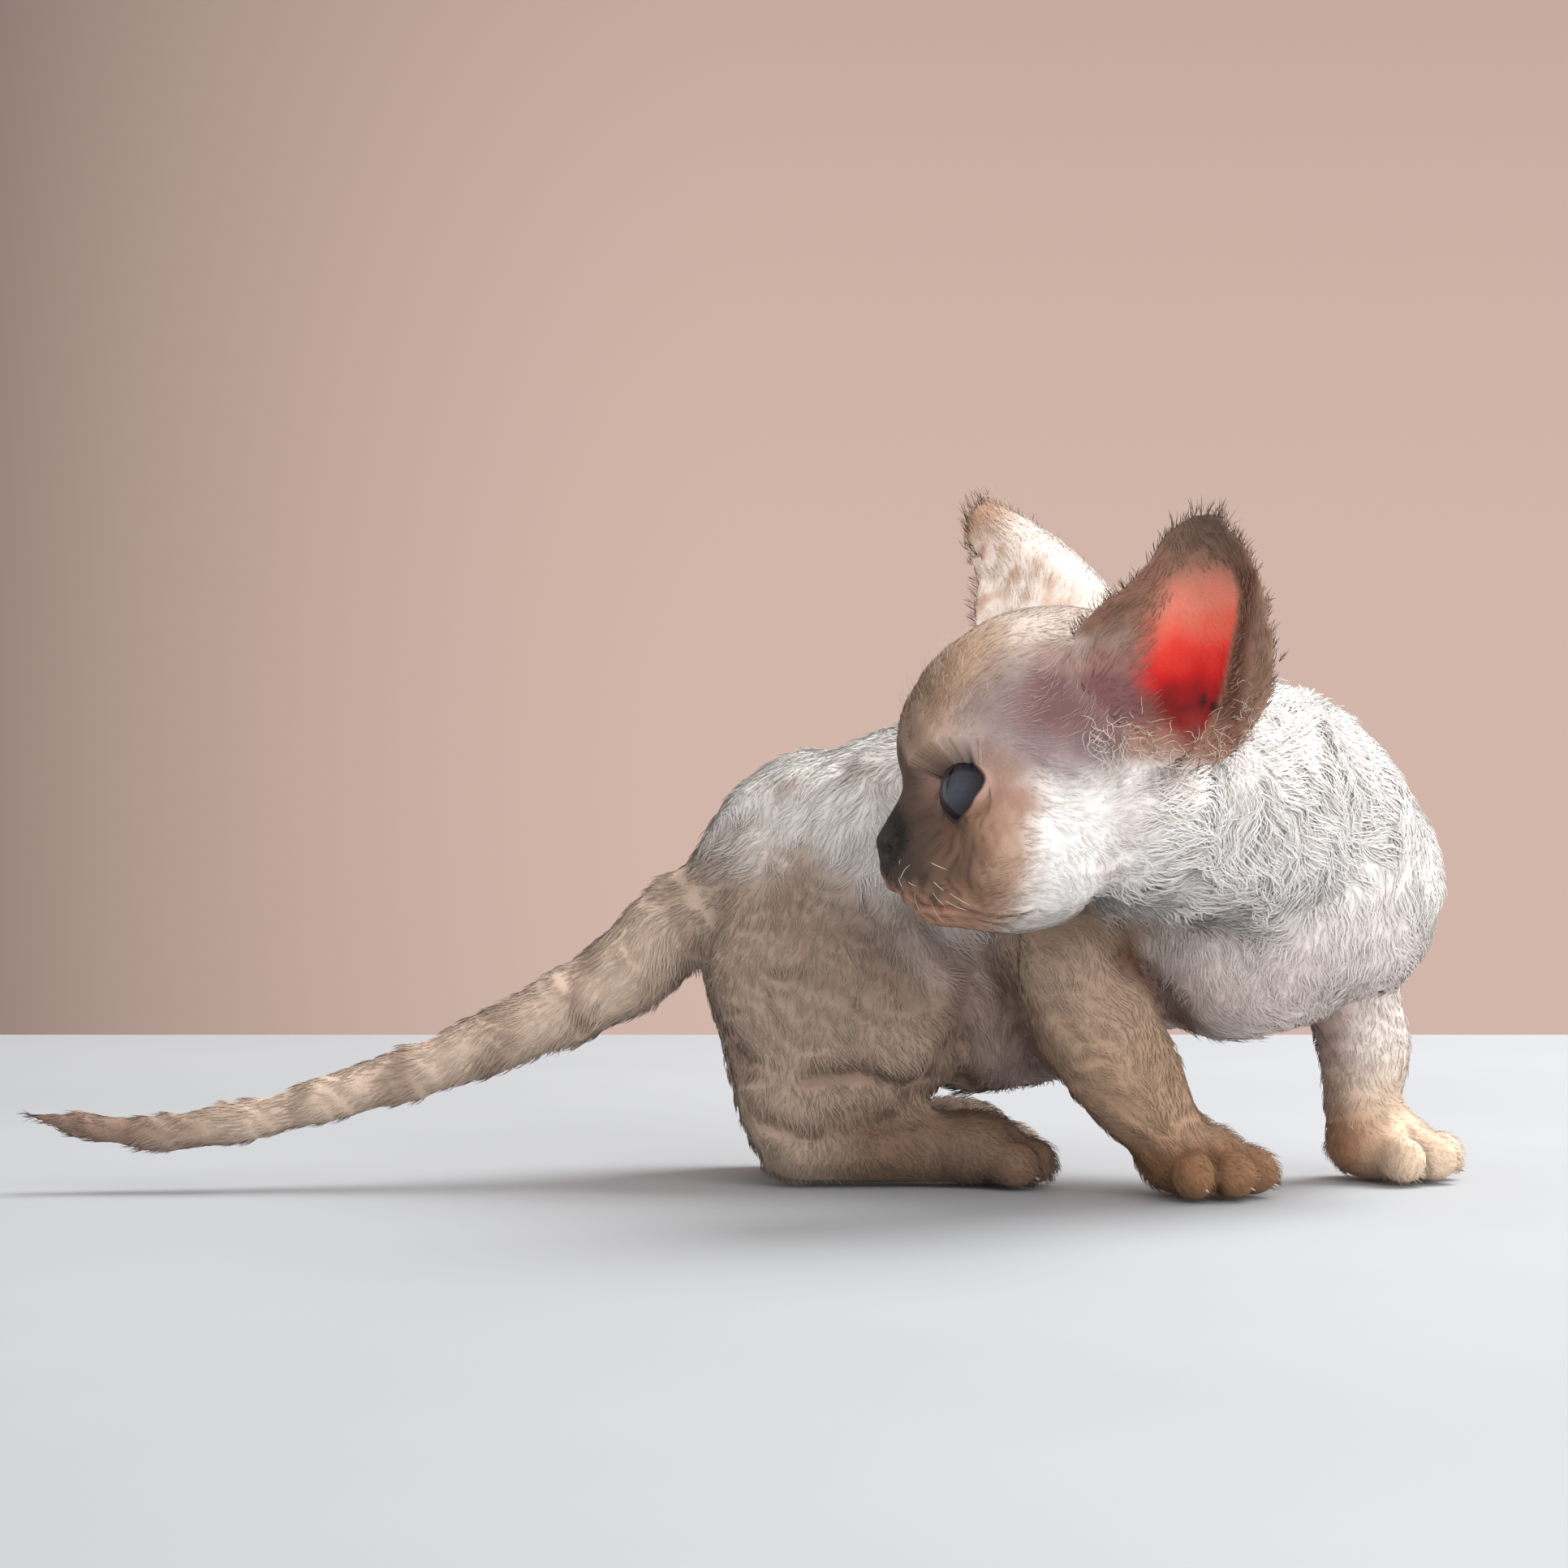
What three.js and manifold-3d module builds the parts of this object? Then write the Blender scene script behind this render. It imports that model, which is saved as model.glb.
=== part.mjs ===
// A devon rex kitten, about seven weeks old, crouching on all four feet with its head turned back
// over its right shoulder. Millimetres, +Z up. The body points along +X and the kitten's right
// flank faces -Y. Every form is given out to the tips of the coat.

import * as THREE from 'three';
import { mergeVertices } from 'three/addons/utils/BufferGeometryUtils.js';
import Module from 'manifold-3d';

const wasm = await Module();
wasm.setup();

const point = (x, y, z) => new THREE.Vector3(x, y, z);
const radians = THREE.MathUtils.degToRad;

// Driving dimensions
const GAP = 0.3;
const TORSO = {
  pelvis: { middle: point(12, 32, 64), half: point(34, 26, 33), heading: 5 },
  belly: { middle: point(45, 26, 60), half: point(46, 29, 44.5), heading: -8 },
  chest: { middle: point(102, 12, 70), half: point(45, 29, 40), heading: -32 },
  spine: [point(2, 32, 64), point(45, 27, 63), point(82, 20, 67), point(112, 6, 71)],
  softness: 16,
  rings: 12,
  sides: 22,
};
const NECK = {
  base: point(104, 0, 82),
  baseRadius: 31,
  top: point(70, -32, 86),
  topRadius: 24,
  rings: 4,
  sides: 20,
};
const HEAD = {
  middle: point(55, -38, 98),
  yaw: 14,
  roll: 8,
  faceCentre: point(10, 0, -12),
  fineness: 8,
};
const EYE = { forward: 17.2, side: 9.6, height: -10.4, radius: 8, lid: 1.3, out: 46, up: 6 };
const EYE_OPENING = { halfWidth: 6.3, halfHeight: 5.7, tilt: 18 };
const EAR = {
  cupDepth: 12,
  wall: 1.5,
  rootWall: 3.4,
  middle: point(1, 5, 0),
  hollowness: 2.2,
  rimSteps: 22,
  cupSteps: 4,
};
const TAIL_RADII = [13, 11, 10, 8.4, 7.4, 6.3, 5.8, 4.7, 3.6, 1.3];
const TAIL_LINE = [
  point(-20, 31, 60), point(-35.5, 25, 46), point(-48, 21, 39), point(-65.5, 16, 31),
  point(-83, 12, 24.5), point(-100.5, 9, 19.4), point(-117.5, 5, 15), point(-136, 3, 12.5),
  point(-152, 1, 14.4), point(-164, 0, 17.2),
];
const TAIL_CUTS = [0.36, 0.68];
const TAIL_RINGS = 30;
const TAIL_SIDES = 12;
const PAW = { palm: point(13, 12, 9), toe: point(7, 5.2, 6.2), reach: 13, fan: 40, hindFan: 30, sunk: 0.6 };
const HEEL = { x: 2, y: 13.5, z: 9, radius: 9.2, frontRadius: 8.8 };
const CLAW = { radius: 0.8, length: 4.5, height: 4.4, droop: 0.3, inset: 1.4 };
const BACK_CURL = { length: 36, width: 30, proud: 2.5, spacing: 28, clear: 1, seed: 41 };
const NECK_CURL = { length: 26, width: 21, proud: 2.6, spacing: 19, clear: 3, seed: 42 };
const BARE_BELLY = 38;
const COAT_CORE = -2.2;
const CREAM = 0xf2ece6;
const BEIGE = 0xc9b7a3;
const TAUPE = 0x9d8877;

// Distance fields: each takes a point and is negative inside the form.
function oval(middle, half, heading = 0, pitch = 0) {
  const turn = new THREE.Quaternion()
    .setFromEuler(new THREE.Euler(0, radians(-pitch), radians(heading), 'ZYX'))
    .invert();
  const local = new THREE.Vector3();
  return (p) => {
    local.copy(p).sub(middle).applyQuaternion(turn).divide(half);
    const reach = local.length();
    const slope = local.divide(half).length();
    return slope > 1e-9 ? (reach * (reach - 1)) / slope : -Math.min(half.x, half.y, half.z);
  };
}

function taper(start, startRadius, end, endRadius) {
  const along = end.clone().sub(start);
  const lengthSquared = along.lengthSq();
  const offset = new THREE.Vector3();
  return (p) => {
    offset.copy(p).sub(start);
    const share = THREE.MathUtils.clamp(offset.dot(along) / lengthSquared, 0, 1);
    const radius = THREE.MathUtils.lerp(startRadius, endRadius, share);
    return offset.addScaledVector(along, -share).length() - radius;
  };
}

function chain(points, radii) {
  const links = points.slice(1).map((end, i) => taper(points[i], radii[i], end, radii[i + 1]));
  return blend(links, 3);
}

function blend(fields, softness) {
  return (p) => fields.reduce((nearest, field) => {
    const other = field(p);
    const overlap = Math.max(softness - Math.abs(nearest - other), 0) / softness;
    return Math.min(nearest, other) - (overlap * overlap * softness) / 4;
  }, 1e6);
}

// The first point of the surface on a ray that starts inside the form.
function surfacePoint(field, start, direction, grow) {
  const spot = new THREE.Vector3();
  const value = (distance) => field(spot.copy(start).addScaledVector(direction, distance)) - grow;
  let outer = 1;
  while (value(outer) < 0 && outer < 150) outer += 1;
  let inner = outer - 1;
  for (let halving = 0; halving < 22; halving += 1) {
    const middle = (inner + outer) / 2;
    if (value(middle) < 0) inner = middle;
    else outer = middle;
  }
  return start.clone().addScaledVector(direction, outer);
}

// Closed bodies from points and triangles, with the faces turned outwards
function volumeOf(corners, triangles) {
  const [a, b, c] = [new THREE.Vector3(), new THREE.Vector3(), new THREE.Vector3()];
  let volume = 0;
  for (let i = 0; i < triangles.length; i += 3) {
    a.fromArray(corners, triangles[i] * 3);
    b.fromArray(corners, triangles[i + 1] * 3);
    c.fromArray(corners, triangles[i + 2] * 3);
    volume += a.dot(b.cross(c)) / 6;
  }
  return volume;
}

function body(corners, triangles) {
  const faces = Uint32Array.from(triangles);
  if (volumeOf(corners, faces) < 0) faces.reverse();
  const mesh = new wasm.Mesh({
    numProp: 3,
    vertProperties: Float32Array.from(corners),
    triVerts: faces,
  });
  return new wasm.Manifold(mesh);
}

function bodyOfGeometry(geometry) {
  const bare = geometry.clone();
  bare.deleteAttribute('normal');
  bare.deleteAttribute('uv');
  const merged = mergeVertices(bare, 1e-4);
  return body(merged.attributes.position.array, merged.index.array);
}

function joined(bodies) {
  return bodies.reduce((whole, piece) => whole.add(piece));
}

function cutBy(whole, cutters) {
  return cutters.reduce((rest, cutter) => rest.subtract(cutter), whole);
}

// A form round a centre line: rings of surface points, with a rounded fan of rays at both ends.
function sleeve(field, line, { rings, sides, capRings = 3, grow = 0 }) {
  const curve = new THREE.CatmullRomCurve3(line);
  const overall = line.at(-1).clone().sub(line[0]).normalize();
  const reference = Math.abs(overall.z) > 0.7 ? point(0, 1, 0) : point(0, 0, 1);
  const rays = [];
  const addRing = (share, lean) => {
    const origin = curve.getPoint(share);
    const along = curve.getTangent(share);
    const across = reference.clone().cross(along).normalize();
    const upward = along.clone().cross(across).normalize();
    const ring = [];
    for (let side = 0; side < sides; side += 1) {
      const angle = (side / sides) * Math.PI * 2;
      const direction = across.clone().multiplyScalar(Math.cos(angle));
      direction.addScaledVector(upward, Math.sin(angle)).multiplyScalar(Math.cos(lean));
      direction.addScaledVector(along, Math.sin(lean));
      ring.push({ origin, direction });
    }
    rays.push(ring);
  };
  const quarter = Math.PI / 2;
  for (let cap = capRings - 1; cap > 0; cap -= 1) addRing(0, (-cap / capRings) * quarter);
  for (let ring = 0; ring <= rings; ring += 1) addRing(ring / rings, 0);
  for (let cap = 1; cap < capRings; cap += 1) addRing(1, (cap / capRings) * quarter);

  const corners = [];
  for (const ring of rays) {
    for (const ray of ring) {
      corners.push(...surfacePoint(field, ray.origin, ray.direction, grow).toArray());
    }
  }
  const firstPole = corners.length / 3;
  const ends = [[0, -1], [1, 1]];
  for (const [share, sense] of ends) {
    const outward = curve.getTangent(share).multiplyScalar(sense);
    corners.push(...surfacePoint(field, curve.getPoint(share), outward, grow).toArray());
  }
  const triangles = [];
  const last = (rays.length - 1) * sides;
  for (let side = 0; side < sides; side += 1) {
    const next = (side + 1) % sides;
    triangles.push(firstPole, next, side);
    triangles.push(firstPole + 1, last + side, last + next);
    for (let ring = 0; ring < last; ring += sides) {
      triangles.push(ring + side, ring + next, ring + sides + next);
      triangles.push(ring + side, ring + sides + next, ring + sides + side);
    }
  }
  return body(corners, triangles);
}

// A form seen from one point inside it
function globe(field, middle, fineness, grow = 0) {
  const ball = bodyPoints(new THREE.IcosahedronGeometry(1, fineness));
  const corners = [];
  for (let i = 0; i < ball.corners.length; i += 3) {
    const direction = new THREE.Vector3().fromArray(ball.corners, i).normalize();
    corners.push(...surfacePoint(field, middle, direction, grow).toArray());
  }
  return body(corners, ball.triangles);
}

function bodyPoints(geometry) {
  geometry.deleteAttribute('normal');
  geometry.deleteAttribute('uv');
  const merged = mergeVertices(geometry, 1e-4);
  return { corners: merged.attributes.position.array, triangles: merged.index.array };
}

function tube(points, radius, steps, sides = 6) {
  const section = new THREE.Shape();
  for (let side = 0; side < sides; side += 1) {
    const angle = (side / sides) * Math.PI * 2;
    const corner = [radius * Math.cos(angle), radius * Math.sin(angle)];
    if (side === 0) section.moveTo(...corner);
    else section.lineTo(...corner);
  }
  const path = new THREE.CatmullRomCurve3(points);
  const settings = { steps, extrudePath: path, bevelEnabled: false };
  return bodyOfGeometry(new THREE.ExtrudeGeometry(section, settings));
}

// Torso: pelvis, round belly and deep chest in one form
const torsoField = blend(
  [TORSO.pelvis, TORSO.belly, TORSO.chest].map((part) => oval(part.middle, part.half, part.heading)),
  TORSO.softness,
);
const torsoBody = (grow) => sleeve(torsoField, TORSO.spine, {
  rings: TORSO.rings,
  sides: TORSO.sides,
  capRings: 4,
  grow,
});

// Neck: short and thick, from between the shoulders to the back of the skull
const neckField = taper(NECK.base, NECK.baseRadius, NECK.top, NECK.topRadius);
const neckBody = (grow) => sleeve(neckField, [NECK.base, NECK.top], {
  rings: NECK.rings,
  sides: NECK.sides,
  grow,
});

// The head's own directions: forward along the nose, side to the kitten's left, and up
const headForward = point(-Math.cos(radians(HEAD.yaw)), -Math.sin(radians(HEAD.yaw)), 0);
const headSide = point(0, 0, 1).cross(headForward)
  .multiplyScalar(Math.cos(radians(HEAD.roll)))
  .addScaledVector(point(0, 0, 1), -Math.sin(radians(HEAD.roll)));
const headUp = headForward.clone().cross(headSide);
const headTurn = new THREE.Matrix4().makeBasis(headForward, headSide, headUp).setPosition(HEAD.middle);
const headTurnBack = headTurn.clone().invert();
const onHead = (forward, side, up) => point(forward, side, up).applyMatrix4(headTurn);
const alongHead = (forward, side, up) => point(forward, side, up).transformDirection(headTurn);

const cheek = (side) => oval(point(7, 13 * side, -20), point(18, 12.5, 15));
const whiskerPad = (side) => oval(point(27, 5 * side, -27.5), point(8.4, 6.8, 6.6));
const lidPillow = (side) => oval(
  point(EYE.forward, EYE.side * side, EYE.height),
  point(1, 1, 1).multiplyScalar(EYE.radius + EYE.lid),
);
const skull = blend([
  oval(point(-1, 0, 0), point(31.5, 26, 28)),
  oval(point(14, 0, -3), point(17.5, 20, 17.5)),
  oval(point(8, 0, -30), point(19, 14, 11.5)),
  cheek(1),
  cheek(-1),
], 8);
const muzzle = blend([
  taper(point(22, 0, -12.5), 9, point(32.6, 0, -21.6), 5),
  oval(point(22, 0, -34.5), point(8, 7, 5.6)),
  whiskerPad(1),
  whiskerPad(-1),
], 3);
const localHeadField = blend([skull, muzzle, lidPillow(1), lidPillow(-1)], 3);
const headSpot = new THREE.Vector3();
const headField = (p) => localHeadField(headSpot.copy(p).applyMatrix4(headTurnBack));
const faceMiddle = HEAD.faceCentre.clone().applyMatrix4(headTurn);
const headBody = (grow) => globe(headField, faceMiddle, HEAD.fineness, grow);

// Eyes: a ball in a socket, behind two lids that leave an almond opening
const eyeMiddle = (side) => onHead(EYE.forward, EYE.side * side, EYE.height);
const eyeOutward = (side) => {
  const out = radians(EYE.out);
  return alongHead(Math.cos(out), Math.sin(out) * side, Math.tan(radians(EYE.up))).normalize();
};

function eyeBall(side, grow) {
  const ball = new THREE.IcosahedronGeometry(EYE.radius + grow, 2);
  ball.translate(...eyeMiddle(side).toArray());
  return bodyOfGeometry(ball);
}

function eyeOpening(side) {
  const almond = new THREE.Shape();
  const steps = 12;
  for (let step = 0; step < steps; step += 1) {
    const angle = (step / steps) * Math.PI * 2;
    const pinch = 1 - 0.12 * Math.sin(angle) ** 2 * Math.cos(angle) ** 2;
    const across = EYE_OPENING.halfWidth * Math.cos(angle);
    const upward = EYE_OPENING.halfHeight * Math.sin(angle) * pinch;
    if (step === 0) almond.moveTo(across, upward);
    else almond.lineTo(across, upward);
  }
  const prism = new THREE.ExtrudeGeometry(almond, { depth: 16, bevelEnabled: false });
  const outward = eyeOutward(side);
  const across = headUp.clone().cross(outward).normalize();
  const upward = outward.clone().cross(across);
  const tilt = radians(EYE_OPENING.tilt) * side;
  prism.rotateZ(tilt);
  prism.applyMatrix4(new THREE.Matrix4().makeBasis(across, upward, outward));
  prism.translate(...eyeMiddle(side).toArray());
  return bodyOfGeometry(prism);
}

// Mouth: one groove from corner to corner under a soft lip, with the split up to the nose
const onFace = (forward, side, up) => {
  const aim = onHead(forward, side, up).sub(faceMiddle).normalize();
  return surfacePoint(headField, faceMiddle, aim, 0);
};
const mouthHalf = [[9, 15, -30], [14, 13, -33.5], [20, 9.5, -33], [26, 6.5, -32.5], [31, 3, -32.5]];
const mouthSpots = (lift) => {
  const left = mouthHalf.map(([forward, side, up]) => onFace(forward, side, up + lift));
  const right = mouthHalf.map(([forward, side, up]) => onFace(forward, -side, up + lift));
  return [...left, onFace(33, 0, -31.5 + lift), ...right.reverse()];
};
const mouthGroove = () => tube(mouthSpots(0), 0.7, 20, 5);
const lip = () => tube(mouthSpots(1.6), 1.1, 20, 5);
const noseSplit = () => tube([onFace(37, 0, -25), onFace(35, 0, -29), onFace(33, 0, -31.5)], 0.5, 6);

function nostril(side) {
  const hole = new THREE.IcosahedronGeometry(1, 1).scale(2.4, 0.9, 1.3);
  const turned = new THREE.Matrix4().makeBasis(
    alongHead(0.8, 0.6 * side, 0),
    alongHead(-0.6 * side, 0.8, 0),
    alongHead(0, 0, 1),
  );
  hole.applyMatrix4(turned);
  hole.translate(...onHead(36.4, 2.4 * side, -22.4).toArray());
  return bodyOfGeometry(hole);
}

// Ears: a wide cup with a thin wall. The outline is seen from the open side, with its first
// number from the front edge to the back edge and its second from the root to the tip.
const EAR_OUTLINE = [
  [-21, 13], [-14, 21], [-8, 27], [-5.5, 33], [-1, 38], [4.2, 40], [10, 36], [15.5, 27.5],
  [19, 18], [21, 9], [19, -1], [14, -9], [5, -14], [-4, -12], [-14, -3], [-21, 5],
];
const LEFT_EAR = {
  root: point(77, -61, 104),
  up: point(0.08, -0.2, 0.97),
  open: point(-0.04, -1, -0.2),
  side: 1,
};
const RIGHT_EAR = {
  root: point(60, -13, 114),
  up: point(-0.56, 0.06, 0.83),
  open: point(-0.5, 0.75, -0.4),
  side: -1,
};

function earCup(ear, grow, filled) {
  const up = ear.up.clone().normalize();
  const back = ear.open.clone().cross(up).multiplyScalar(-ear.side).normalize();
  const open = ear.side > 0 ? up.clone().cross(back) : back.clone().cross(up);
  if (open.dot(ear.open) < 0) open.negate();
  const outline = EAR_OUTLINE.map(([across, height]) => point(across, height, 0));
  const rim = new THREE.CatmullRomCurve3(outline, true).getSpacedPoints(EAR.rimSteps).slice(0, -1);
  const corners = [];
  const addSpot = (flat, depth) => {
    const spot = ear.root.clone().addScaledVector(back, flat.x).addScaledVector(up, flat.y);
    corners.push(...spot.addScaledVector(open, -depth).toArray());
  };
  for (const layer of [0, 1]) {
    for (let step = 0; step < EAR.cupSteps; step += 1) {
      const share = 1 - step / EAR.cupSteps;
      const hollow = EAR.cupDepth * (1 - share ** EAR.hollowness);
      const wall = THREE.MathUtils.lerp(EAR.rootWall, EAR.wall, share) + grow;
      const depth = layer ? hollow + wall : filled ? -grow : hollow;
      for (const spot of rim) {
        const away = spot.clone().sub(EAR.middle);
        const widened = share + (share * grow * 1.3) / away.length();
        addSpot(EAR.middle.clone().addScaledVector(away, widened), depth);
      }
    }
    const deepest = EAR.cupDepth + EAR.rootWall + grow;
    addSpot(EAR.middle, layer ? deepest : filled ? -grow : EAR.cupDepth);
  }
  const sides = rim.length;
  const layerSize = EAR.cupSteps * sides + 1;
  const triangles = [];
  for (let layer = 0; layer < 2; layer += 1) {
    const first = layer * layerSize;
    for (let side = 0; side < sides; side += 1) {
      const next = (side + 1) % sides;
      const faces = [];
      for (let step = 0; step < EAR.cupSteps - 1; step += 1) {
        const near = first + step * sides;
        faces.push([near + side, near + next, near + sides + next]);
        faces.push([near + side, near + sides + next, near + sides + side]);
      }
      const inner = first + (EAR.cupSteps - 1) * sides;
      faces.push([inner + side, inner + next, first + layerSize - 1]);
      for (const face of faces) triangles.push(...(layer ? face : face.reverse()));
    }
  }
  for (let side = 0; side < sides; side += 1) {
    const next = (side + 1) % sides;
    triangles.push(side, next, layerSize + next, side, layerSize + next, layerSize + side);
  }
  return body(corners, triangles);
}

// Legs: each is a few tapered lengths of muscle and bone, under the coat
const limb = (points, radii, size, grow) => sleeve(chain(points, radii), points, { ...size, grow });

const NEAR_FORELEG = {
  line: [point(62, 2, 60), point(62, -4, 49), point(67, -7, 37), point(74, -7, 25), point(81, -6, 14.5)],
  radii: [14.5, 14, 15, 13, 10.5],
};
const FAR_FORELEG = {
  line: [point(112, 23, 62), point(126, 27, 45), point(130, 28, 29), point(129, 28, 14.5)],
  radii: [17, 13, 11.5, 10],
};
const foreleg = (leg, grow) => limb(leg.line, leg.radii, { rings: 8, sides: 14 }, grow);

// The far hind leg mirrors the near one across the spine, with its foot set a little further back.
const SPINE_Y = 32;
const FAR_SETBACK = 2;
const hindSpot = (side, x, y, z) => (side > 0 ? point(x, y, z) : point(x - FAR_SETBACK, 2 * SPINE_Y - y, z));

const hindLegField = (side) => blend([
  oval(hindSpot(side, 10, 18, 53), point(28, 16, 28)),
  oval(hindSpot(side, 11, 15, 33), point(17, 11, 14)),
  taper(hindSpot(side, 14, 16, 46), 15, hindSpot(side, 28, 13.5, 30), 11),
  taper(hindSpot(side, -3, 17, 46), 15, hindSpot(side, -1, 13.5, 17), 10.5),
  taper(hindSpot(side, 27, 13.5, 29), 11, hindSpot(side, 2, 13.5, 17), 10.5),
], 6);
const hindLeg = (side, grow) => globe(hindLegField(side), hindSpot(side, 9, 16, 38), 4, grow);
const LEG_FIELDS = [
  chain(NEAR_FORELEG.line, NEAR_FORELEG.radii),
  chain(FAR_FORELEG.line, FAR_FORELEG.radii),
  hindLegField(1),
  hindLegField(-1),
];

// Paws: a palm, four toes in a fan, and the tips of the drawn-in claws, flat under the sole
function paw(middle, heading, grow = 0, heel = null) {
  const turnTo = (from, angle, distance, height) => {
    const spot = from.clone();
    spot.x += Math.cos(radians(angle)) * distance;
    spot.y += Math.sin(radians(angle)) * distance;
    spot.z = height;
    return spot;
  };
  const pieces = [globe(oval(middle, PAW.palm, heading), middle, 2, grow)];
  if (heel) {
    const radii = [HEEL.radius, HEEL.frontRadius];
    pieces.push(limb([heel, middle], radii, { rings: 2, sides: 9, capRings: 2 }, grow));
  }
  for (let toe = 0; toe < 4; toe += 1) {
    const spread = (toe - 1.5) * (heel ? PAW.hindFan : PAW.fan);
    const toeMiddle = turnTo(middle, heading + spread, PAW.reach, PAW.toe.z - PAW.sunk);
    const angle = heading + spread / 2;
    pieces.push(globe(oval(toeMiddle, PAW.toe, angle), toeMiddle, 1, grow));
    const claw = new THREE.ConeGeometry(CLAW.radius, CLAW.length, 4).rotateZ(-Math.PI / 2 - CLAW.droop);
    const clawTurn = new THREE.Matrix4().makeBasis(
      point(Math.cos(radians(angle)), Math.sin(radians(angle)), 0),
      point(0, 0, 1),
      point(Math.sin(radians(angle)), -Math.cos(radians(angle)), 0),
    );
    claw.applyMatrix4(clawTurn);
    claw.translate(...turnTo(toeMiddle, angle, PAW.toe.x - CLAW.inset, CLAW.height).toArray());
    pieces.push(bodyOfGeometry(claw));
  }
  const under = new THREE.BoxGeometry(200, 200, 40).translate(middle.x, middle.y, -20);
  return joined(pieces).subtract(bodyOfGeometry(under));
}

// Tail: one long taper, parted into three lengths by thin cuts
const tailField = chain(TAIL_LINE, TAIL_RADII);
const wholeTail = () => sleeve(tailField, TAIL_LINE, {
  rings: TAIL_RINGS,
  sides: TAIL_SIDES,
  capRings: 2,
});
const tailCurve = new THREE.CatmullRomCurve3(TAIL_LINE);

function halfSpace(share, side) {
  const size = 200;
  const block = new THREE.BoxGeometry(size, size, size).translate(0, 0, (side * (size - GAP)) / 2);
  const away = new THREE.Quaternion().setFromUnitVectors(point(0, 0, 1), tailCurve.getTangent(share));
  block.applyQuaternion(away);
  return bodyOfGeometry(block.translate(...tailCurve.getPoint(share).toArray()));
}

// Coat: soft rounded curls set close over the back, chest and neck. Each is a drop that lies along
// the coat with its root sunk in the body, and they cross one another like waves.
function randomDraws(seed) {
  let state = seed;
  return () => {
    state = (Math.imul(state, 1664525) + 1013904223) >>> 0;
    return state / 4294967296;
  };
}

function slopeOf(field, spot) {
  const step = 0.5;
  const level = (x, y, z) => field(spot.clone().add(point(x, y, z)));
  return point(
    level(step, 0, 0) - level(-step, 0, 0),
    level(0, step, 0) - level(0, -step, 0),
    level(0, 0, step) - level(0, 0, -step),
  ).normalize();
}

function curl(spot, outward, lie, size) {
  const drop = new THREE.IcosahedronGeometry(1, 1);
  drop.scale(size.width / 2, size.length / 2, size.height);
  const across = lie.clone().cross(outward).normalize();
  const forward = outward.clone().cross(across);
  drop.applyMatrix4(new THREE.Matrix4().makeBasis(across, forward, outward));
  drop.translate(...spot.clone().addScaledVector(outward, size.proud - size.height).toArray());
  return bodyOfGeometry(drop);
}

// The spots lie on rings round the form, spaced alike along it and round its ends.
function curlsOver(field, line, kind, lieAt, covers, grow) {
  const draw = randomDraws(kind.seed);
  const curve = new THREE.CatmullRomCurve3(line);
  const length = curve.getLength();
  const nose = surfacePoint(field, curve.getPoint(1), curve.getTangent(1), 0);
  const girth = surfacePoint(field, curve.getPoint(1), point(0, 0, 1), 0).distanceTo(line.at(-1));
  const endShare = (Math.PI / 2) * ((girth + nose.distanceTo(line.at(-1))) / 2);
  const rings = Math.round((length + 2 * endShare) / (kind.spacing * 0.87));
  const curls = [];
  for (let ring = 1; ring < rings; ring += 1) {
    const travelled = (ring / rings) * (length + 2 * endShare) - endShare;
    const share = THREE.MathUtils.clamp(travelled / length, 0, 1);
    const lean = ((travelled - share * length) / endShare) * (Math.PI / 2);
    const origin = curve.getPoint(share);
    const along = curve.getTangent(share);
    const across = point(0, 0, 1).cross(along).normalize();
    const upward = along.clone().cross(across).normalize();
    const reach = surfacePoint(field, origin, upward, 0).distanceTo(origin);
    const round = Math.max(Math.round((2 * Math.PI * reach * Math.cos(lean)) / kind.spacing), 3);
    for (let turn = 0; turn < round; turn += 1) {
      const angle = ((turn + (ring % 2) / 2 + 0.3 * (draw() - 0.5)) / round) * Math.PI * 2;
      const direction = across.clone().multiplyScalar(Math.cos(angle) * Math.cos(lean));
      direction.addScaledVector(upward, Math.sin(angle) * Math.cos(lean));
      direction.addScaledVector(along, Math.sin(lean));
      const spot = surfacePoint(field, origin, direction, COAT_CORE);
      const outward = slopeOf(field, spot);
      const lie = lieAt(spot).clone().applyAxisAngle(outward, radians(70 * (draw() - 0.5)));
      const vary = 0.85 + 0.3 * draw();
      if (covers(spot)) {
        curls.push(curl(spot, outward, lie, {
          length: kind.length * vary + 2 * grow,
          width: kind.width * vary + 2 * grow,
          height: kind.proud * 2.2 * vary + grow,
          proud: kind.proud * vary + grow,
        }));
      }
    }
  }
  return curls;
}

// The nodes, each cut clear of what it grows from
function largest(whole) {
  const size = (piece) => {
    const mesh = piece.getMesh();
    return volumeOf(mesh.vertProperties, mesh.triVerts);
  };
  return whole.decompose().sort((a, b) => size(b) - size(a))[0];
}

const kitten = new THREE.Group();

function addNode(name, whole, color, roughness = 0.95) {
  const mesh = largest(whole).getMesh();
  const geometry = new THREE.BufferGeometry();
  geometry.setAttribute('position', new THREE.BufferAttribute(mesh.vertProperties, 3));
  geometry.setIndex(new THREE.BufferAttribute(mesh.triVerts, 1));
  geometry.computeVertexNormals();
  const material = new THREE.MeshStandardMaterial({ color, roughness, metalness: 0 });
  const node = new THREE.Mesh(geometry, material);
  node.name = name;
  kitten.add(node);
}

const headCut = headBody(GAP);
const earCuts = [LEFT_EAR, RIGHT_EAR].map((ear) => earCup(ear, GAP, true));
const clearOf = (spot, fields, distance) => fields.every((field) => field(spot) > distance);

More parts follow.
